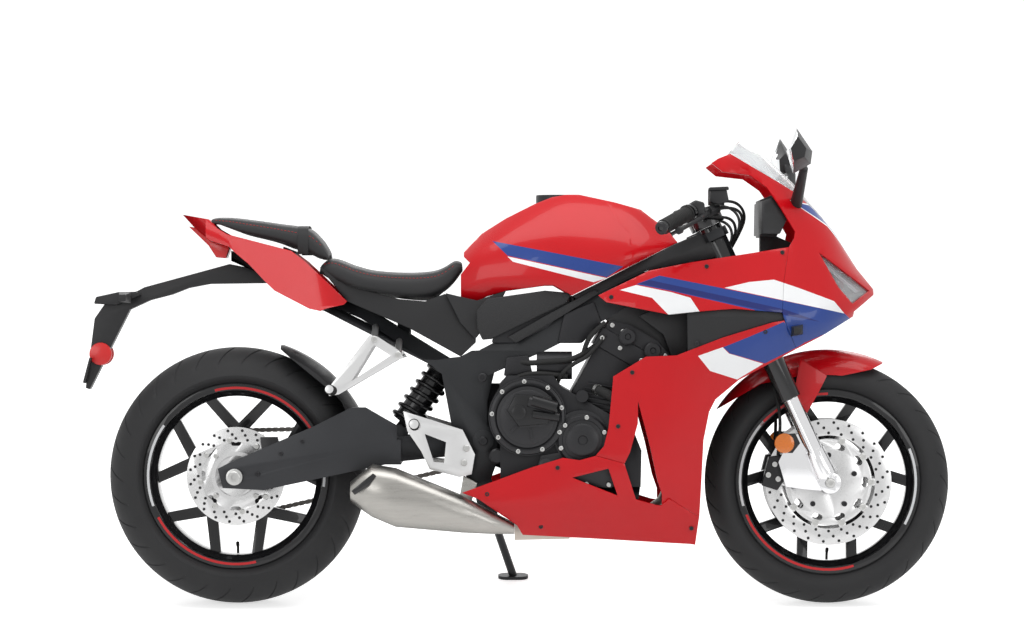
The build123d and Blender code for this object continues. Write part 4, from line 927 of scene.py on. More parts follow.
@dataclass
class Bodywork:
    """Painted fairing and tank with their coloured bands."""

    wall: float = 4.0
    edge: float = 0.9
    step: float = 11.0
    upper: list[Point2] = field(default_factory=lambda: [
        (159, 756), (178, 740), (328, 710), (393, 717), (484, 724), (601, 715), (606, 790), (620, 873), (508, 855),
        (384, 836), (282, 816), (167, 760),
    ])
    middle: list[Point2] = field(default_factory=lambda: [
        (194, 560), (273, 608), (346, 611), (457, 654), (579, 691), (606, 695), (636, 626), (497, 552), (441, 505),
        (426, 475), (413, 406), (405, 218), (330, 264), (313, 249), (313, 274), (301, 310), (283, 392), (254, 500),
        (254, 447), (235, 377), (222, 350), (152, 369), (172, 392), (183, 436), (194, 554),
    ])
    lower: list[Point2] = field(default_factory=lambda: [
        (-171, 279), (-127, 295), (-5, 340), (73, 364), (113, 358), (151.6, 368.5), (221.5, 349.5), (250, 262),
        (298, 248), (311, 246.3), (313.4, 248.4), (330.3, 263.3), (404.6, 217.2), (396, 149), (383, 151),
        (-24, 176), (-38, 200), (-131, 264),
    ])
    nose: list[Point2] = field(default_factory=lambda: [
        (636.8, 626.4), (700, 658), (781, 705), (783, 717), (838, 758), (838, 772), (796, 822), (783, 849),
        (746, 904), (688, 966), (636, 1010), (480, 1100), (450, 1088), (434, 1077), (460, 1056), (528, 1048),
        (569, 1019), (597, 979), (637, 911), (634, 894), (620.8, 874), (606.8, 790), (601.8, 715), (607, 696),
    ])
    vent: list[Point2] = field(default_factory=lambda: [
        (366, 722), (484, 735), (606, 726), (612, 690), (582, 684), (457, 646), (368, 610),
    ])
    lamp: list[Point2] = field(default_factory=lambda: [(695, 861), (826, 768), (779, 735), (742, 777)])
    belly_vent: list[Point2] = field(default_factory=lambda: [(95, 316), (183, 338), (205, 272)])

    def build(self) -> None:
        """Builds every painted panel and its bands."""
        self._panel("upper_fairing", self.upper)
        self._panel("mid_fairing", self.middle)
        self._panel("nose_cowl", self.nose, self.lamp)
        self._belly()
        self._tank()

    def _bands(self) -> list[tuple[int, list[Point2]]]:
        """Lists the painted bands of the fairing, as a slot and an outline each."""
        return [
            (1, [(462, 774), (521, 788), (582, 794), (645, 773), (730, 742), (757, 712)]),
            (2, [(250, 783), (306, 804), (758, 712), (781, 692), (660, 643), (612, 670), (604, 704), (333, 767)]),
            (3, [(258, 785), (283, 793), (604, 723), (694, 692), (604, 709)]),
            (1, [(211, 769), (250, 781), (333, 764), (380, 750), (404, 713), (389, 712), (329, 707), (288, 750)]),
            (1, [(398, 610), (457, 631), (472, 616), (556, 591), (493, 553), (427, 574)]),
            (2, [(458, 631), (525, 658), (604, 692), (645, 658), (689, 663), (645, 634), (560, 592), (474, 616)]),
            (1, [(625, 988), (700, 975), (840, 815), (850, 800), (832, 793), (720, 925)]),
            (2, [(632, 984), (700, 972), (836, 812), (844, 803), (834, 798), (722, 928)]),
        ]

    def _panel(self, name: str, outline: list[Point2], opening: list[Point2] | None = None) -> None:
        """Cuts one pair of panels from the fairing's form.

        Args:
            name: the CAD node that it stands for.
            outline: the panel's side outline.
            opening: a hole in it.
        """
        sheet = trimmed(sheet_from(name + "_shell", FAIRING_FORM, self.step, 4, 0.45), outline)
        if opening:
            trimmed(sheet, opening, keep=False)
        paint(sheet, RED, WHITE, BLUE, NAVY)
        for slot, band in self._bands():
            tinted(sheet, band, slot)
        self._finish(sheet, name)

    def _finish(self, sheet: Piece, name: str) -> None:
        """Thickens a sheet, rounds its edges and mounts both sides."""
        self._face_out(sheet)
        modified(sheet, "SOLIDIFY", thickness=self.wall, offset=-1, use_even_offset=False)
        bevelled(sheet, self.edge, 2, 60)
        mount(both(sheet), "chassis", name, slot="red_paint", angle=28)

    def _face_out(self, sheet: Piece) -> None:
        """Turns a right-hand sheet's faces to the right."""
        if sum(p.normal.y * p.area for p in sheet.data.polygons) > 0:
            with editing(sheet):
                bpy.ops.mesh.flip_normals()

    def _belly(self) -> None:
        """Builds the belly pan's two sides with their vents."""
        sheet = trimmed(sheet_from("lower_fairing_shell", BELLY_FORM, self.step, 6, 0.6), self.lower)
        trimmed(sheet, self.belly_vent, keep=False)
        self._finish(paint(sheet, RED), "lower_fairing")

    def _tank(self) -> None:
        """Builds the tank and its front cover, with the band on both sides."""
        side = [(-168, 862), (-124, 908), (-65, 945), (5, 980), (48, 997), (83, 1003), (114, 1003), (201, 984),
                (266, 966), (292, 945), (327, 921), (354, 886), (249, 833), (96, 756), (52, 781), (31, 781),
                (-65, 768), (-113, 754), (-135, 742), (-212, 759), (-153, 836), (-168, 851)]
        seam = [(162.4, 1020), (207.2, 936), (238.2, 906), (242.2, 828), (400, 828), (400, 1020)]
        for name, keep in (("tank", False), ("tank_cover", True)):
            sheet = sheet_from(name + "_shell", TANK_FORM, 9, 7, 0.9)
            trimmed(sheet, side)
            trimmed(sheet, seam, keep=keep)
            if name == "tank":
                self._filler_hole(sheet)
            paint(sheet, RED, WHITE, BLUE)
            tinted(sheet, [(-98, 889), (220, 826), (180, 800), (-61, 853)], 2)
            tinted(sheet, [(-61, 851), (180, 798), (148, 788), (-48, 838)], 1)
            self._face_out(sheet)
            shell = both(sheet)
            outward(shell)
            modified(shell, "SOLIDIFY", thickness=3.0, offset=-1, use_even_offset=False)
            bevelled(shell, 1.2, 2, 60)
            if name == "tank":
                shell = joined("tank_shell", [shell, self._filler_ring()])
            mount(shell, "chassis", name, slot="tank_paint", angle=30)

    def _filler_hole(self, sheet: Piece) -> None:
        """Opens the round well of the filler cap."""
        without(sheet, lambda polygon: polygon.center.z > 960 and math.hypot(
            polygon.center.x - 60, polygon.center.y) < 41)

    def _filler_ring(self) -> Piece:
        """Builds the dark ring round the filler cap.

        Returns:
            The ring, with its own finish.
        """
        profile = [(31, -10), (31, 8), (40, 8), (44, 14), (50, 15.5), (51, 12), (51, -10)]
        ring = turned("filler_ring", [(r, z) for r, z in profile], (0, 0, 0), 64)
        ring.data.transform(Matrix.Translation((60, 0, 988)) @ Matrix.Rotation(math.radians(90), 4, "X"))
        paint(ring, RED, WHITE, BLUE, COVER_CAST)
        for polygon in ring.data.polygons:
            polygon.material_index = 3
        return outward(ring)


@dataclass
class Cushion:
    """One padded seat: crowned, seamed and stitched."""

    name: str
    node: str
    length: list[float]
    half: list[float]
    top: list[float]
    bottom: list[float]
    crown: float = 9.0
    seam_share: float = 0.72
    strap: float | None = None
    body: str = "chassis"
    across: int = 28

    def build(self) -> None:
        """Builds the cushion with its piping seams and stitches."""
        cushion = self._pad()
        mount(paint(cushion, SEAT, SEAT_GRIP), self.body, self.node, slot="seat_cover", angle=60)
        self._stitches()
        if self.strap is not None:
            self._strap()

    def _row(self, x: float) -> tuple[float, float, float]:
        """Reads the half width, top and bottom at a place along the seat."""
        table = list(zip(self.length, self.half, self.top, self.bottom))
        half, top, bottom = eased(table, min(max(x, table[0][0]), table[-1][0] - 0.01))
        return half, top, bottom

    def surface(self, x: float, share: float) -> Point3:
        """Gives a point of the cushion's top.

        Args:
            x: the place along the bike.
            share: the place across, from -1 at the right edge to 1 at the left.

        Returns:
            The point.
        """
        half, top, bottom = self._row(x)
        thickness = max(top - bottom, 4)
        drop = thickness * 0.62 * abs(share) ** 4.5
        valley = 2.6 * math.exp(-((abs(share) - self.seam_share) / 0.03) ** 2)
        crown = self.crown * (1 - share * share)
        return (x, half * math.sin(share * math.pi / 2 * 0.98), top - self.crown + crown - drop - valley)

    def _pad(self) -> Piece:
        """Shapes a grid into the closed, crowned pad.

        Returns:
            The pad.
        """
        first, last = self.length[0], self.length[-1]
        count = max(12, round((last - first) / 8))
        deselect()
        bpy.ops.mesh.primitive_grid_add(x_subdivisions=self.across, y_subdivisions=count)
        pad = named(self.name)
        for i, vertex in enumerate(pad.data.vertices):
            row, column = divmod(i, self.across + 1)
            x = first + (last - first) * row / count
            share = -1 + 2 * column / self.across
            point = Vector(self.surface(x, share))
            end = min(row, count - row) / count
            if end < 0.06:
                point.z -= (self._row(x)[1] - self._row(x)[2]) * 0.35 * (1 - end / 0.06) ** 2
            vertex.co = point
        self._close(pad)
        outward(pad)
        modified(pad, "SUBSURF", levels=1, render_levels=1)
        for polygon in pad.data.polygons:
            share = abs(polygon.center.y) / max(self._row(polygon.center.x)[0], 1)
            polygon.material_index = 1 if share < 0.82 and polygon.normal.z > 0.5 else 0
        return pad

    def _close(self, pad: Piece) -> None:
        """Folds the grid's border down to the flat base and closes it."""
        pick(pad)
        bpy.context.tool_settings.mesh_select_mode = (False, True, False)
        bpy.ops.object.mode_set(mode="EDIT")
        bpy.ops.mesh.select_all(action="DESELECT")
        bpy.ops.mesh.select_non_manifold(extend=False, use_wire=False, use_boundary=True, use_multi_face=False,
                                         use_non_contiguous=False, use_verts=False)
        bpy.ops.mesh.extrude_edges_move(TRANSFORM_OT_translate={"value": (0, 0, -1)})
        bpy.ops.object.mode_set(mode="OBJECT")
        for vertex in pad.data.vertices:
            if vertex.select:
                vertex.co.z = self._row(vertex.co.x)[2]
                vertex.co.y *= 0.9
        pick(pad)
        bpy.ops.object.mode_set(mode="EDIT")
        bpy.ops.mesh.edge_face_add()
        bpy.ops.mesh.quads_convert_to_tris()
        bpy.ops.object.mode_set(mode="OBJECT")

    def _stitches(self) -> None:
        """Lays two rows of short red stitches beside each seam."""
        stitch = tube("stitch", [(-2.4, 0, 0), (-1.2, 0, 0.5), (1.2, 0, 0.5), (2.4, 0, 0)], 0.55, 1)
        paint(stitch, THREAD)
        places = []
        first, last = self.length[0] + 14, self.length[-1] - 14
        count = int((last - first) / 8.5)
        for k in range(count):
            x = first + (last - first) * k / count
            for share in (-self.seam_share - 0.035, self.seam_share + 0.035):
                here, ahead = Vector(self.surface(x, share)), Vector(self.surface(x + 3, share))
                way = (ahead - here).normalized()
                turn = way.to_track_quat("X", "Z").to_matrix().to_4x4()
                places.append(Matrix.Translation(here + Vector((0, 0, 0.2))) @ turn)
        mount(repeated(stitch, self.name + "_stitches", places), self.body)

    def _strap(self) -> None:
        """Runs the grab strap over the cushion."""
        points = []
        for k in range(-12, 13):
            x, y, z = self.surface(self.strap or 0, k / 12)
            points.append((x, y * 1.02, z + 1.6))
        edge = points[0]
        points = [(edge[0], edge[1] * 0.97, edge[2] - 22), *points, (edge[0], -edge[1] * 0.97, edge[2] - 22)]
        strips = []
        for offset in (-13, 13):
            strips.append([(x + offset, y, z) for x, y, z in points])
        deselect()
        bpy.ops.mesh.primitive_grid_add(x_subdivisions=1, y_subdivisions=len(points) - 1)
        strap = named(self.name + "_strap")
        for i, vertex in enumerate(strap.data.vertices):
            row, column = divmod(i, 2)
            vertex.co = strips[column][row]
        modified(strap, "SOLIDIFY", thickness=2.2, offset=0)
        outward(strap)
        bevelled(strap, 0.6)
        mount(paint(strap, SEAT_GRIP), self.body)


def rider_cushion() -> Cushion:
    """Gives the rider's seat."""
    return Cushion(
        "rider_cushion", "rider_seat", [-520, -486, -433, -385, -304, -243, -215, -190, -172],
        [96, 112, 124, 124, 112, 92, 82, 74, 64], [838, 848, 830, 818, 813, 817, 827, 843, 848],
        [812, 790, 768, 758, 746, 745, 762, 790, 820], 7, 0.7,
    )


def passenger_cushion() -> Cushion:
    """Gives the passenger's seat."""
    return Cushion(
        "passenger_cushion", "passenger_seat", [-788, -740, -700, -620, -543, -520, -496],
        [56, 80, 86, 96, 100, 101, 96], [948, 948, 944, 933, 920, 899, 872],
        [938, 920, 905, 884, 852, 842, 848], 7, 0.76, -560,
    )


@dataclass
class Tail:
    """Tail cowl."""

    cowl: list[Point2] = field(default_factory=lambda: [
        (-859, 955), (-793, 945), (-770, 922), (-746, 908), (-588, 867), (-556, 843), (-488, 779), (-451, 744),
        (-459, 736), (-504, 724), (-544, 724), (-629, 768), (-693, 833), (-729, 863), (-741, 875), (-790, 891),
        (-810, 908), (-830, 924),
    ])
    lamp_spot: Point3 = (-818.0, 0.0, 906.0)
    reflector: Point3 = (-1061.0, 0.0, 613.0)

    def build(self) -> None:
        """Builds the cowl's smooth skin."""
        self._cowl()

    def _cowl(self) -> None:
        """Smooths the cowl's form and rounds its edges."""
        cowl = refined("tail_cowl", "tail_skin", RED, bevel=1.2)
        mount(cowl, "chassis", "tail_cowl", slot="red_paint", angle=50)


def refined(node: str, name: str, finish: Finish, bevel: float = 1.0, segments: int = 2, sharp: float = 42) -> Piece:
    """Copies a CAD node's form, cleans its faces and rounds its edges.

    Args:
        node: the CAD node to start from.
        name: the new piece's name.
        finish: its finish.
        bevel: the width of the rounded edges.
        segments: the number of parts of each rounding.
        sharp: the angle above which an edge is rounded.

    Returns:
        The piece, in millimetres on the upright bike.
    """
    piece = NODES[node].copy()
    piece.data = NODES[node].data.copy()
    piece.parent = None
    piece.matrix_world = Matrix.Identity(4)
    piece.name = piece.data.name = name
    for key in list(piece.keys()):
        del piece[key]
    bpy.context.scene.collection.objects.link(piece)
    piece.data.transform(UPRIGHT)
    with editing(piece):
        bpy.ops.mesh.remove_doubles(threshold=0.02)
        bpy.ops.mesh.dissolve_limited(angle_limit=math.radians(2.5))
    bevelled(piece, bevel, segments, sharp)
    return paint(piece, finish)


def body_of(node: str) -> str:
    """Finds the body that a CAD node rides on."""
    return next(body for body, members in frame["record"]["behaviour"]["bodies"].items() if node in members)


@dataclass
class Castings:
    """Rigid pieces whose CAD form is kept, with their edges rounded and faces cleaned."""

    forms: dict[str, tuple[float, float, float]] = field(default_factory=lambda: {
        "frame": (2.4, 35, 40), "subframe": (2.0, 35, 40), "swingarm": (4.0, 30, 50), "engine_block": (3.0, 35, 35),
        "cylinder_head": (3.0, 30, 35), "engine_covers": (2.2, 35, 40), "radiator": (1.0, 40, 30),
        "exhaust_pipes": (0.6, 60, 60), "silencer": (2.2, 50, 55), "front_fender": (0.7, 60, 60),
        "plate_bracket": (1.4, 35, 40), "knee_pads": (3.0, 35, 50), "foot_pegs": (1.4, 35, 35),
        "handlebars": (0.8, 40, 40), "controls": (1.0, 40, 40), "front_calipers": (2.6, 30, 40),
        "rear_caliper": (2.4, 30, 40), "triple_clamps": (1.6, 35, 40), "rear_hugger": (1.0, 40, 50),
        "tail_light": (1.6, 40, 50), "windscreen": (0.8, 60, 60), "cockpit_trim": (1.4, 40, 40),
        "indicators": (1.0, 40, 40), "shock_absorber": (0.8, 50, 40), "front_rim": (1.8, 38, 35),
        "rear_rim": (1.8, 38, 35), "side_stand": (1.2, 40, 40), "filler_cap": (1.0, 40, 40),
        "fork_tubes": (0.6, 50, 40), "fork_legs": (1.2, 45, 40), "front_axle": (0.8, 50, 40),
        "rear_axle": (0.8, 50, 40), "front_discs": (0.4, 50, 30), "rear_disc": (0.4, 50, 30),
        "rear_sprocket": (0.6, 50, 30), "headlamps": (0.8, 60, 50),
    })

    def build(self) -> None:
        """Rounds each casting and puts it in its node's place."""
        for node, (bevel, sharp, shade) in self.forms.items():
            piece = refined(node, node + "_finished", DRESSING[node], bevel, 2, sharp)
            mount(piece, body_of(node), node, angle=shade)


@dataclass
class Infill:
    """Dark moulded covers between the frame, the seat, the tank and the fairing."""

    covers: dict[str, tuple[list[Point2], float, float, Finish]] = field(default_factory=lambda: {
        "seat_side_cover": ([
            (-520, 826), (-452, 782), (-330, 748), (-262, 742), (-214, 760), (-150, 745), (-138, 700), (-140, 640),
            (-175, 607), (-300, 676), (-452, 742),
        ], -108, -98, PLASTIC),
        "tank_foot_cover": ([
            (-212, 762), (-135, 744), (-112, 752), (-65, 768), (-100, 700), (-140, 650), (-176, 690),
        ], -120, -104, PLASTIC),
        "tank_front_cover": ([
            (96, 754), (160, 786), (249, 832), (352, 884), (404, 906), (452, 894), (452, 850), (384, 838),
            (282, 818), (168, 764), (120, 742),
        ], -126, -112, PLASTIC),
        "spar_cover": ([
            (-60, 655), (40, 712), (150, 770), (163, 762), (62, 700), (-40, 640),
        ], -139, -134, COARSE),
        "head_backing": ([
            (180, 700), (240, 735), (330, 735), (345, 640), (330, 590), (290, 600),
        ], -128, -120, PLASTIC),
        "head_side_cover": ([
            (258, 706), (300, 722), (388, 726), (398, 600), (372, 560), (340, 600), (318, 660),
        ], -148, -138, PLASTIC),
        "radiator_side": ([(352, 470), (404, 452), (430, 600), (470, 700), (384, 700), (372, 600)],
                          -176, -168, PLASTIC),
    })

    def build(self) -> None:
        """Builds each cover on both sides."""
        for name, (outline, y_from, y_to, finish) in self.covers.items():
            mount(both(paint(plate(name, outline, y_from, y_to, 2.0), finish)), "chassis")


@dataclass
class Engine:
    """What is bolted to the engine's right side."""

    clutch: Point3 = (-13.0, -182.0, 462.0)
    crank: Point3 = (121.0, -180.0, 406.0)
    bank: Point2 = (250.0, 634.0)
    bank_lean: float = 30.0

    def build(self) -> None:
        """Builds the covers' rings, ribs, hoses, caps and bolts."""
        self._covers()
        self._bolts()
        self._hoses()
        self._barrels()

    def _covers(self) -> None:
        """Turns the stepped rims, caps and the actuator of the right covers."""
        rings = []
        for name, centre, y, profile in (
            ("clutch_rim", self.clutch, -182, [(70, 0), (90, 0), (92, -4), (90, -9), (84, -11), (78, -9), (70, -4)]),
            ("clutch_face", self.clutch, -195, [(0, 0), (66, 0), (66, -3), (58, -7), (20, -9), (0, -9)]),
            ("crank_rim", self.crank, -180, [(48, 0), (62, 0), (63, -6), (58, -12), (50, -12), (48, -8)]),
            ("crank_face", self.crank, -190, [(0, 0), (40, 0), (40, -4), (33, -8), (12, -8), (10, -5), (0, -5)]),
            ("timing_cap", (32, 0, 345), -190, [(0, 0), (16, 0), (16, -5), (12, -7), (0, -7)]),
            ("cam_cap_low", (231, 0, 656), -160, [(0, 0), (21, 0), (21, -8), (17, -11), (8, -11), (6, -7), (0, -7)]),
            ("cam_cap_high", (292, 0, 622), -160,
             [(0, 0), (21, 0), (21, -8), (17, -11), (8, -11), (6, -7), (0, -7)]),
            ("oil_filler", (-86, 0, 366), -150, [(0, 0), (19, 0), (19, -9), (15, -12), (0, -12)]),
        ):
            rings.append(turned(name, profile, (centre[0], y, centre[2]), 56))
        ribs = []
        for k in range(6):
            rib = plate("rib", [(-3, 22), (3, 22), (3, 56), (-3, 56)], -206, -202, 0.8)
            rib.data.transform(Matrix.Translation((self.clutch[0], 0, self.clutch[2])))
            rib.data.transform(around((self.clutch[0], 0, self.clutch[2]), k * 60 + 12))
            ribs.append(rib)
        mount(paint(joined("cover_rims", rings + ribs), COVER_CAST), "chassis", angle=30)
        actuator = [
            plate("box", [(-62, 478), (-42, 518), (42, 512), (60, 474), (34, 446), (-34, 440)], -220, -204, 3.5),
            tube("barrel", [(-2, -222, 503), (58, -222, 486)], 14, 4, False),
            tube("barrel", [(0, -216, 470), (64, -216, 462)], 11, 4, False),
            turned("cup", [(0, 0), (17, 0), (17, -6), (12, -8), (0, -8)], (-34, -220, 474), 32),
        ]
        for part in actuator:
            outward(part)
        mount(paint(joined("clutch_actuator", actuator), CALIPER), "chassis", angle=35)

    def _bolts(self) -> None:
        """Sets the cover bolts."""
        spots = ring_spots(self.clutch, 86, 9, -190, 15) + ring_spots(self.crank, 56, 6, -191, 20)
        spots += [((x, -183, z), (0.0, -1.0, 0.0)) for x, z in (
            (18, 326), (70, 306), (130, 300), (184, 298), (216, 330), (206, 384))]
        spots += [(self._head_spot(15, along_by, -154.4), (0.0, -1.0, 0.0)) for along_by in (-74, -44, 44, 74)]
        spots += [(self._head_spot(-24, along_by, -158.4), (0.0, -1.0, 0.0)) for along_by in (-80, -30, 30, 80)]
        Fasteners().set_out("cover_bolts", "chassis", 5.4, 5.5, BOLT, spots)
        frame_spots = [((x, -141 if z > 640 else -123, z), (0.0, -1.0, 0.0)) for x, z in (
            (-120, 402), (-122, 556), (238, 758), (262, 742))]
        Fasteners().set_out("frame_bolts", "chassis", 11, 6, DARK_BOLT, frame_spots)

    def _head_spot(self, up: float, along_by: float, y: float) -> Point3:
        """Gives a place on the leaning cylinder bank."""
        lean, (x, z) = math.radians(self.bank_lean), self.bank
        return (x + up * math.sin(lean) + along_by * math.cos(lean), y,
                z + up * math.cos(lean) - along_by * math.sin(lean))

    def _hoses(self) -> None:
        """Runs the coolant hoses, wires and the breather."""
        hoses = [
            ([(236, -150, 560), (262, -172, 520), (300, -176, 500), (352, -168, 484), (392, -158, 480)], 13),
            ([(150, -150, 530), (176, -178, 520), (210, -180, 500), (232, -176, 470), (240, -160, 436)], 12),
            ([(-60, -130, 600), (-20, -150, 590), (40, -158, 596), (110, -156, 600), (160, -150, 640)], 7),
            ([(60, -140, 540), (64, -166, 560), (96, -172, 590), (140, -166, 610), (176, -158, 660)], 5),
            ([(-100, -120, 470), (-90, -150, 520), (-40, -160, 560), (20, -160, 570), (84, -150, 560)], 6),
            ([(176, -158, 690), (150, -164, 670), (128, -160, 640), (120, -150, 600)], 6),
            ([(-70, -112, 330), (-50, -140, 300), (10, -150, 282), (80, -150, 270), (150, -140, 262)], 8),
        ]
        pieces = [tube("hose", points, radius) for points, radius in hoses]
        mount(paint(joined("hoses", pieces), SOFT_RUBBER), "chassis", angle=60)
        clips = []
        for points, radius in hoses[:2]:
            for spot, ahead in ((points[0], points[1]), (points[-1], points[-2])):
                way = (Vector(ahead) - Vector(spot)).normalized()
                start = Vector(spot) + way * 6
                clips.append(tube("clip", [tuple(start), tuple(start + way * 8)], radius + 1.6, 4, False))
        mount(paint(joined("hose_clips", clips), BOLT), "chassis", angle=40)

    def _barrels(self) -> None:
        """Adds fins, the starter housing and bosses in front of the block."""
        parts = []
        for k in range(7):
            z = 476 + k * 11
            parts.append(plate("fin", [(92 + k * 7, z), (238 + k * 3, z - 20), (238 + k * 3, z - 17),
                                       (92 + k * 7, z + 3)], -156, -150, 0.6))
        parts.append(tube("starter", [(10, -120, 586), (96, -120, 586)], 34, 8, False))
        parts.append(tube("sensor", [(120, -160, 512), (120, -182, 512)], 15, 6, False))
        parts.append(plate("junction", [(-70, 560), (-64, 606), (-10, 612), (0, 566)], -150, -120, 4))
        parts.append(plate("filter_body", [(-100, 640), (-86, 700), (10, 745), (96, 740), (40, 680), (-40, 640)],
                           -128, -100, 5))
        parts.append(plate("throttles", [(60, 640), (76, 712), (150, 742), (168, 690), (120, 640)], -136, -110, 5))
        for part in parts:
            outward(part)
        mount(paint(joined("engine_side_parts", parts), ENGINE_CAST), "chassis", angle=35)


def along(start: Sequence[float], end: Sequence[float]) -> Matrix:
    """Turns a piece made about the cross axis onto the line between two places."""
    way = Vector(end) - Vector(start)
    return Matrix.Translation(Vector(start)) @ way.to_track_quat("Y", "Z").to_matrix().to_4x4()


def skin_spot(table: Sequence[tuple[float, ...]], x: float, z: float, proud: float = 0.5) -> Point3:
    """Finds the place on a form's right side at a side-view spot."""
    values = eased(table, x)
    chain = [(values[k], values[k + 1]) for k in range(0, len(values), 2)]
    for (half, low), (half_up, high) in zip(chain, chain[1:]):
        if low <= z <= high:
            share = (z - low) / max(high - low, 0.01)
            return (x, -(half + (half_up - half) * share) - proud, z)
    return (x, -chain[-1][0] - proud, z)


@dataclass
class Cockpit:
    """Grips, switches, reservoir, hoses, mirrors and lamp bowls."""

    grip_inner: Point3 = (372.0, -226.0, 953.0)
    grip_outer: Point3 = (311.0, -325.0, 918.5)

    def build(self) -> None:
        """Builds all that sits round the handlebars."""
        self._grips()
        self._controls()
        self._hoses()
        self._mirrors()
        self._lamps()

    def _grips(self) -> None:
        """Turns a ribbed grip and its bar-end weight, on both sides."""
        length = (Vector(self.grip_outer) - Vector(self.grip_inner)).length
        profile = [(8, 0), (20, 0), (21.5, 2), (20, 5), (17.6, 6)]
        for k in range(15):
            y = 8 + k * (length - 16) / 15
            profile += [(17.6, y), (18.4, y + 1.2), (18.4, y + 4.4), (17.6, y + 5.6)]
        profile += [(17.6, length - 4), (18.6, length - 2), (18.0, length), (8, length)]
        grip = paint(turned("grip", profile, (0, 0, 0), 40), SOFT_RUBBER)
        grip.data.transform(along(self.grip_inner, self.grip_outer))
        mount(both(outward(grip)), "steering", angle=30)
        weight = turned("bar_end", [(0, 0), (13, 0), (15.5, 2), (15.5, 12), (12.5, 15), (7, 15), (6, 12), (0, 12)],
                        (0, 0, 0), 32)
        way = (Vector(self.grip_outer) - Vector(self.grip_inner)).normalized()
        weight.data.transform(along(self.grip_outer, Vector(self.grip_outer) + way))
        mount(both(outward(paint(weight, DARK_BOLT))), "steering", angle=30)

    def _controls(self) -> None:
        """Builds the switch housings, the master cylinder and the fork caps."""
        housing = plate("housing", [(372, 944), (372, 974), (392, 986), (414, 980), (416, 950), (394, 938)],
                        -222, -188, 5)
        mount(both(paint(housing, PLASTIC)), "steering", angle=40)
        reservoir = plate("reservoir", [(428, 982), (430, 1012), (470, 1014), (476, 984), (452, 976)], -170, -128, 5)
        lid = plate("lid", [(426, 1010), (428, 1018), (474, 1020), (476, 1012)], -173, -125, 2)
        mount(paint(joined("fluid_reservoir", [reservoir, lid]), PLASTIC), "steering", angle=40)
        caps = []
        for y in (-105.0, 105.0):
            cap = turned("cap", [(0, 0), (20, 0), (20, 7), (16, 10), (9, 10), (9, 5), (0, 5)], (0, 0, 0), 36)
            cap.data.transform(along((424.0, y, 945.0), (419.8, y, 954.1)))
            caps.append(outward(cap))
        mount(paint(joined("fork_caps", caps), BRACKET), "steering", angle=30)

    def _hoses(self) -> None:
        """Runs cables round the steering head and brake hoses down the fork."""
        runs = [
            [(424, -165, 966), (452, -150, 986), (500, -118, 984), (522, -90, 950), (506, -60, 905),
             (476, -48, 862), (458, -52, 815)],
            [(420, -160, 956), (462, -146, 972), (508, -116, 964), (514, -84, 925), (492, -52, 880),
             (466, -40, 836), (458, -44, 800)],
            [(400, -188, 952), (436, -160, 946), (484, -124, 946), (500, -84, 915), (482, -56, 870), (458, -60, 820)],
            [(424, 165, 966), (452, 150, 984), (500, 118, 976), (520, 84, 940), (500, 52, 890), (462, 46, 820)],
            [(400, 188, 952), (440, 160, 950), (488, 118, 940), (500, 76, 905), (480, 50, 860), (458, 54, 810)],
        ]
        mount(paint(joined("control_cables", [tube("cable", run, 3.6) for run in runs]), SOFT_RUBBER),
              "steering", angle=60)
        brake = [(486, -40, 728), (520, -80, 700), (552, -84, 640), (584, -84, 560), (606, -84, 470), (604, -82, 400),
                 (600, -80, 366)]
        mount(both(paint(tube("front_brake_hose", brake, 4.2), SOFT_RUBBER)), "steering", angle=60)
        spots = [((x, y, z), (0.0, -1.0 if y < 0 else 1.0, 0.0)) for x, z in ((592, 344), (600, 308), (576, 318))
                 for y in (-87.2, 87.2)]
        Fasteners().set_out("caliper_bolts", "steering", 6.5, 5, BOLT, spots)
        Fasteners().set_out("axle_clamps", "steering", 9, 7, BOLT,
                            [((724.5, -131.5, 300), (0.0, -1.0, 0.0)), ((724.5, 131.5, 300), (0.0, 1.0, 0.0))])
        lens = turned("amber_reflector", [(0, 0), (23, 0), (24.5, -2), (23.5, -6), (12, -8.5), (0, -8.5)],
                      (614, -106, 396), 40)
        bracket = plate("reflector_bracket", [(600, 372), (606, 418), (640, 420), (652, 396), (634, 372)],
                        -106, -103, 0.8)
        mount(both(paint(lens, AMBER)), "steering", angle=50)
        mount(both(paint(bracket, PLASTIC)), "steering")

    def _mirrors(self) -> None:
        """Rounds the mirror housings and gives their rear faces their glass."""
        mirrors = refined("mirrors", "mirror_housings", PLASTIC, 5.0, 4, 24)
        mirrors.data.materials.append(MIRROR_GLASS.material())
        for polygon in mirrors.data.polygons:
            polygon.material_index = int(polygon.normal.x < -0.85 and abs(polygon.center.y) > 240)
        mount(mirrors, "chassis", "mirrors", angle=60)

    def _lamps(self) -> None:
        """Sets a dark bowl with a bright strip behind each lamp glass."""
        outline = [(688, 868), (836, 768), (779, 730), (737, 774)]
        strip = [(706, 850), (812, 773), (806, 769), (712, 838)]
        for name, shape, sink, finish in (("lamp_bowl", outline, -20, GLOSS_BLACK), ("lamp_strip", strip, -17, WHITE)):
            sheet = trimmed(sheet_from(name, FAIRING_FORM, 8, 4, 0.45), shape)
            if sum(p.normal.y * p.area for p in sheet.data.polygons) > 0:
                with editing(sheet):
                    bpy.ops.mesh.flip_normals()
            modified(sheet, "DISPLACE", strength=sink, mid_level=0.0)
            modified(sheet, "SOLIDIFY", thickness=1.5, offset=-1)
            mount(both(paint(sheet, finish)), "chassis")


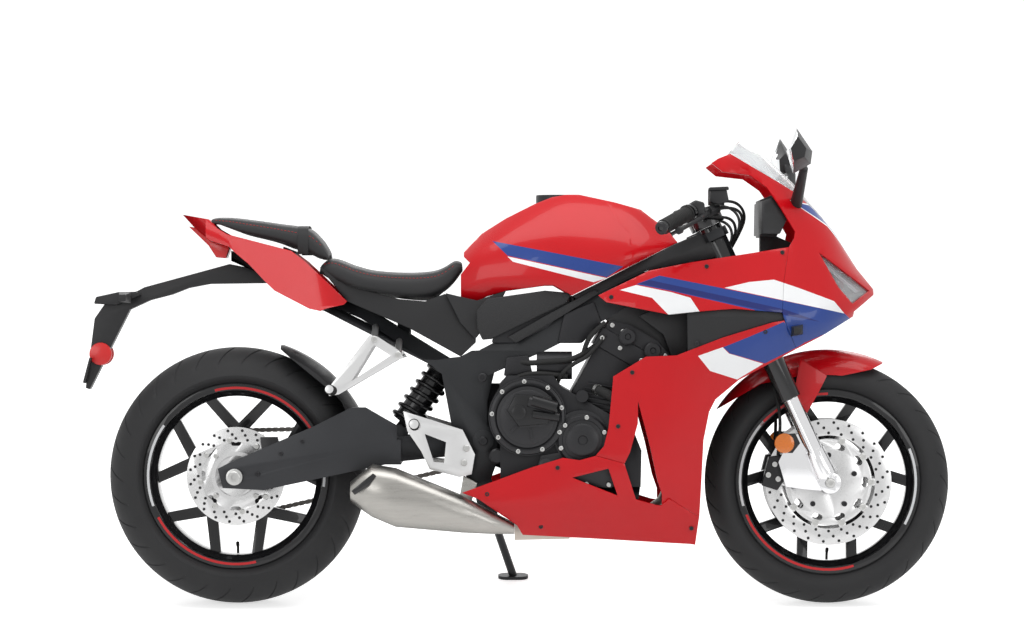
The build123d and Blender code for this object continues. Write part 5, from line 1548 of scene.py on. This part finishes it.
@dataclass
class Rear:
    """Chain, sprocket teeth, spring, pegs, reflectors and the silencer's trim."""

    pitch: float = 15.875
    rear_radius: float = 106.2
    front_radius: float = 38.0
    front_centre: Point2 = (-52.0, 398.0)
    plane: float = 106.0

    def build(self) -> None:
        """Builds the rear end's small parts."""
        self._chain()
        self._teeth()
        self._spring()
        self._small_parts()
        self._fairing_bolts()

    def _loop(self) -> list[tuple[float, float, float]]:
        """Steps round the chain's loop.

        Returns:
            A place along and up, and a direction in radians, for each link.
        """
        rear, front = Vector((REAR_HUB[0], REAR_HUB[2])), Vector(self.front_centre)
        line = front - rear
        base = math.atan2(line.y, line.x)
        open_by = math.acos((self.rear_radius - self.front_radius) / line.length)
        straight = math.sqrt(line.length ** 2 - (self.rear_radius - self.front_radius) ** 2)
        wrap_front, wrap_rear = 2 * open_by, 2 * math.pi - 2 * open_by
        runs = (straight, self.front_radius * wrap_front, straight, self.rear_radius * wrap_rear)
        count = round(sum(runs) / self.pitch / 2) * 2
        spots = []
        for k in range(count):
            s = sum(runs) * k / count
            if s < runs[0]:
                normal = base + open_by
                start = rear + self.rear_radius * Vector((math.cos(normal), math.sin(normal)))
                way = normal - math.pi / 2
                spot = start + s * Vector((math.cos(way), math.sin(way)))
            elif s < runs[0] + runs[1]:
                normal = base + open_by - (s - runs[0]) / self.front_radius
                spot = front + self.front_radius * Vector((math.cos(normal), math.sin(normal)))
                way = normal - math.pi / 2
            elif s < runs[0] + runs[1] + runs[2]:
                normal = base - open_by
                start = front + self.front_radius * Vector((math.cos(normal), math.sin(normal)))
                way = normal - math.pi / 2
                spot = start + (s - runs[0] - runs[1]) * Vector((math.cos(way), math.sin(way)))
            else:
                normal = base - open_by - (s - runs[0] - runs[1] - runs[2]) / self.rear_radius
                spot = rear + self.rear_radius * Vector((math.cos(normal), math.sin(normal)))
                way = normal - math.pi / 2
            spots.append((spot.x, spot.y, way))
        return spots

    def _chain(self) -> None:
        """Models a pair of side plates with a roller and copies it round the loop."""
        waist = [(-11.5, 0), (-9, 5.4), (-4, 5.6), (0, 3.6), (4, 5.6), (9, 5.4), (11.5, 0), (9, -5.4), (4, -5.6),
                 (0, -3.6), (-4, -5.6), (-9, -5.4)]
        links = []
        for k, (x, z, way) in enumerate(self._loop()):
            if k < 2:
                inner = 4.6 if k else 6.6
                sides = [plate("side", waist, self.plane + s * inner, self.plane + s * (inner + 1.8), 0)
                         for s in (-1, 1)]
                roller = turned("roller", [(0, -inner), (4.8, -inner), (4.8, inner), (0, inner)],
                                (0, self.plane, 0), 8)
                links.append(joined("link", [*sides, roller]))
        matrices: tuple[list[Matrix], list[Matrix]] = ([], [])
        for k, (x, z, way) in enumerate(self._loop()):
            turn = Matrix.Rotation(-way, 4, "Y")
            matrices[k % 2].append(Matrix.Translation((x, 0, z)) @ turn)
        parts = [repeated(link, "chain_links", places) for link, places in zip(links, matrices)]
        mount(paint(joined("drive_chain_links", parts), CHAIN), "chassis", "drive_chain", angle=30)

    def _teeth(self) -> None:
        """Cuts the rear sprocket's teeth as one tooth copied round."""
        x, _, z = REAR_HUB
        tooth = plate("tooth", [(x + 100, z - 6), (x + 110.5, z - 1.6), (x + 112, z), (x + 110.5, z + 1.6),
                                (x + 100, z + 6)], self.plane - 3.2, self.plane + 3.2, 0.6)
        teeth = repeated(tooth, "sprocket_teeth", [around(REAR_HUB, 360 * k / 42) for k in range(42)])
        mount(paint(teeth, STEEL), "rear_wheel")

    def _spring(self) -> None:
        """Winds the shock's coil spring."""
        low, high = Vector((-316, 0, 446)), Vector((-224, 0, 568))
        way = (high - low).normalized()
        side, up = Vector((0, 1, 0)), way.cross(Vector((0, 1, 0)))
        turns, steps = 6.5, 12
        points = []
        for k in range(int(turns * steps) + 1):
            angle = 2 * math.pi * k / steps
            spot = low.lerp(high, k / (turns * steps)) + 35 * (side * math.cos(angle) + up * math.sin(angle))
            points.append(tuple(spot))
        mount(paint(tube("coil_spring", points, 5.8, 3), SPRING), "chassis", angle=60)

    def _small_parts(self) -> None:
        """Adds the reflector, the lamp hood, peg rubbers and the silencer's outlet."""
        lens = turned("red_reflector", [(0, 0), (26, 0), (28, -2), (27, -6), (14, -9), (0, -9)],
                      (-1061, -24, 613), 44)
        mount(both(paint(lens, RED_LENS)), "chassis", angle=50)
        hood = plate("rear_lamp_hood", [(-1077, 736), (-1072, 753), (-1017, 765), (-972, 766), (-960, 758),
                                        (-1022, 733)], -34, 34, 3)
        mount(paint(hood, PLASTIC), "chassis")
        pegs = [((-286, -158, 441), (-286, -232, 446), 13), ((-486, -160, 525), (-490, -228, 530), 12)]
        rubbers = []
        for start, end, radius in pegs:
            length = (Vector(end) - Vector(start)).length
            profile = [(6, 0), (radius, 0)]
            for k in range(8):
                y = 3 + k * (length - 6) / 8
                profile += [(radius, y), (radius - 1.6, y + 1.5), (radius - 1.6, y + 3.5), (radius, y + 5)]
            profile += [(radius, length), (6, length)]
            rubber = turned("peg_rubber", profile, (0, 0, 0), 28)
            rubber.data.transform(along(start, end))
            rubbers.append(outward(rubber))
        mount(both(paint(joined("peg_rubbers", rubbers), SOFT_RUBBER)), "chassis", angle=30)
        outlet = plate("silencer_outlet", [(-436, 286), (-384, 328), (-376, 322), (-392, 300), (-428, 276)],
                       -250, -230, 1.5)
        mount(paint(outlet, GLOSS_BLACK), "chassis")
        spots = [((x, -150.4, z), (0.0, -1.0, 0.0)) for x, z in (
            (-160, 385), (-166, 350), (-282, 440), (-384, 650), (-326, 612), (-484, 524))]
        Fasteners().set_out("peg_bolts", "chassis", 8, 6, BOLT, spots)
        Fasteners().set_out("rear_axle_nut", "chassis", 15, 12, BOLT, [((REAR_HUB[0], -150.4, REAR_HUB[2]), (0, -1, 0))])
        arm = [((x, -140.4, z), (0.0, -1.0, 0.0)) for x, z in ((-668, 322), (-612, 372), (-560, 402))]
        Fasteners().set_out("arm_bolts", "chassis", 5, 4, DARK_BOLT, arm)

    def _fairing_bolts(self) -> None:
        """Sets the panels' small screws on their surface."""
        spots = [(skin_spot(FAIRING_FORM, x, z), (0.0, -1.0, 0.0)) for x, z in (
            (240, 570), (396, 640), (560, 668), (190, 752), (420, 826), (604, 860), (386, 190), (206, 440))]
        spots += [(skin_spot(BELLY_FORM, x, z), (0.0, -1.0, 0.0)) for x, z in ((-110, 276), (60, 340), (20, 196))]
        mirrored = [((x, -y, z), (0.0, 1.0, 0.0)) for (x, y, z), _ in spots]
        Fasteners().set_out("panel_screws", "chassis", 5.2, 3, DARK_BOLT, spots + mirrored)


ASSEMBLIES = (
    Castings, front_wheel, rear_wheel, Discs, Bodywork, rider_cushion, passenger_cushion, Tail, Infill, Engine,
    Cockpit, Rear,
)


@dataclass
class Studio:
    """Camera, floor and soft light."""

    camera_spot: Point3 = (-50.0, -10000.0, 711.0)
    mm_per_pixel: float = 2.464
    frame_width: int = 1024
    sensor: float = 36.0
    floor_glow: float = 0.62

    def build(self) -> None:
        """Sets the camera at the photograph's view, the floor, the world and the lamps."""
        self._camera()
        self._floor()
        self._light()
        bpy.context.scene.view_settings.view_transform = "Standard"

    def _camera(self) -> None:
        """Places the camera square to the bike's right side."""
        lens = bpy.data.cameras.new("side_view")
        lens.sensor_width = self.sensor
        lens.lens = self.sensor * -self.camera_spot[1] / (self.mm_per_pixel * self.frame_width)
        lens.clip_end = 200
        camera = bpy.data.objects.new("side_view", lens)
        turn = Matrix.Rotation(-LEAN, 4, "X") @ Matrix.Rotation(math.radians(90), 4, "X")
        camera.matrix_world = Matrix.Translation(BIKE @ Vector(self.camera_spot)) @ turn
        bpy.context.scene.collection.objects.link(camera)
        bpy.context.scene.camera = camera

    def _floor(self) -> None:
        """Lays a pale floor that looks white to the camera and keeps the shadow."""
        deselect()
        bpy.ops.mesh.primitive_plane_add(size=40)
        floor = named("floor")
        material = bpy.data.materials.new("pale_floor")
        material.use_nodes = True
        tree = material.node_tree
        shader = tree.nodes["Principled BSDF"]
        shader.inputs["Roughness"].default_value = 0.7
        shader.inputs["Base Color"].default_value = (0.8, 0.8, 0.8, 1)
        glow = tree.nodes.new("ShaderNodeMath")
        glow.operation = "MULTIPLY"
        glow.inputs[1].default_value = self.floor_glow
        tree.links.new(self._seen(tree), glow.inputs[0])
        tree.links.new(glow.outputs["Value"], shader.inputs["Emission Strength"])
        shader.inputs["Emission Color"].default_value = (1, 1, 1, 1)
        floor.data.materials.append(material)

    def _seen(self, tree: bpy.types.NodeTree) -> bpy.types.NodeSocket:
        """Adds a switch that is 1 for camera, glossy and transmission rays.

        Args:
            tree: the nodes to add it to.

        Returns:
            The switch's socket.
        """
        path = tree.nodes.new("ShaderNodeLightPath")
        rays = path.outputs["Is Camera Ray"]
        for name in ("Is Glossy Ray", "Is Transmission Ray"):
            more = tree.nodes.new("ShaderNodeMath")
            more.operation = "MAXIMUM"
            tree.links.new(rays, more.inputs[0])
            tree.links.new(path.outputs[name], more.inputs[1])
            rays = more.outputs["Value"]
        return rays

    def _light(self) -> None:
        """Adds an even world with a white background and the soft boxes."""
        world = bpy.data.worlds.new("studio")
        bpy.context.scene.world = world
        world.use_nodes = True
        tree = world.node_tree
        ground = tree.nodes["Background"]
        ground.inputs["Color"].default_value = (1, 1, 1, 1)
        rays = self._seen(tree)
        level = tree.nodes.new("ShaderNodeMapRange")
        level.inputs["To Min"].default_value = 0.55
        level.inputs["To Max"].default_value = 1.0
        tree.links.new(rays, level.inputs["Value"])
        tree.links.new(level.outputs["Result"], ground.inputs["Strength"])
        for name, spot, aim, size, power in (
            ("overhead", (0, -0.6, 3.4), (0, 0, 0.5), (4.5, 1.8), 70),
            ("side_left", (-2.6, -3.4, 1.9), (-0.4, 0, 0.5), (2.0, 1.4), 22),
            ("side_right", (2.8, -3.2, 1.7), (0.4, 0, 0.5), (2.0, 1.4), 22),
            ("far_side", (0.2, 3.4, 2.2), (0, 0, 0.5), (3.5, 1.4), 40),
        ):
            lamp = bpy.data.lights.new(name, "AREA")
            lamp.shape = "RECTANGLE"
            lamp.size, lamp.size_y = size
            lamp.energy = power
            holder = bpy.data.objects.new(name, lamp)
            holder.location = spot
            holder.rotation_euler = (Vector(aim) - Vector(spot)).to_track_quat("-Z", "Y").to_euler()
            bpy.context.scene.collection.objects.link(holder)


def main() -> None:
    """Builds the scene in order."""
    logging.basicConfig(level=logging.INFO, format="%(message)s")
    Studio().build()
    dress_nodes()
    for assembly in ASSEMBLIES:
        assembly().build()


if __name__ == "__main__":
    main()
    deselect()
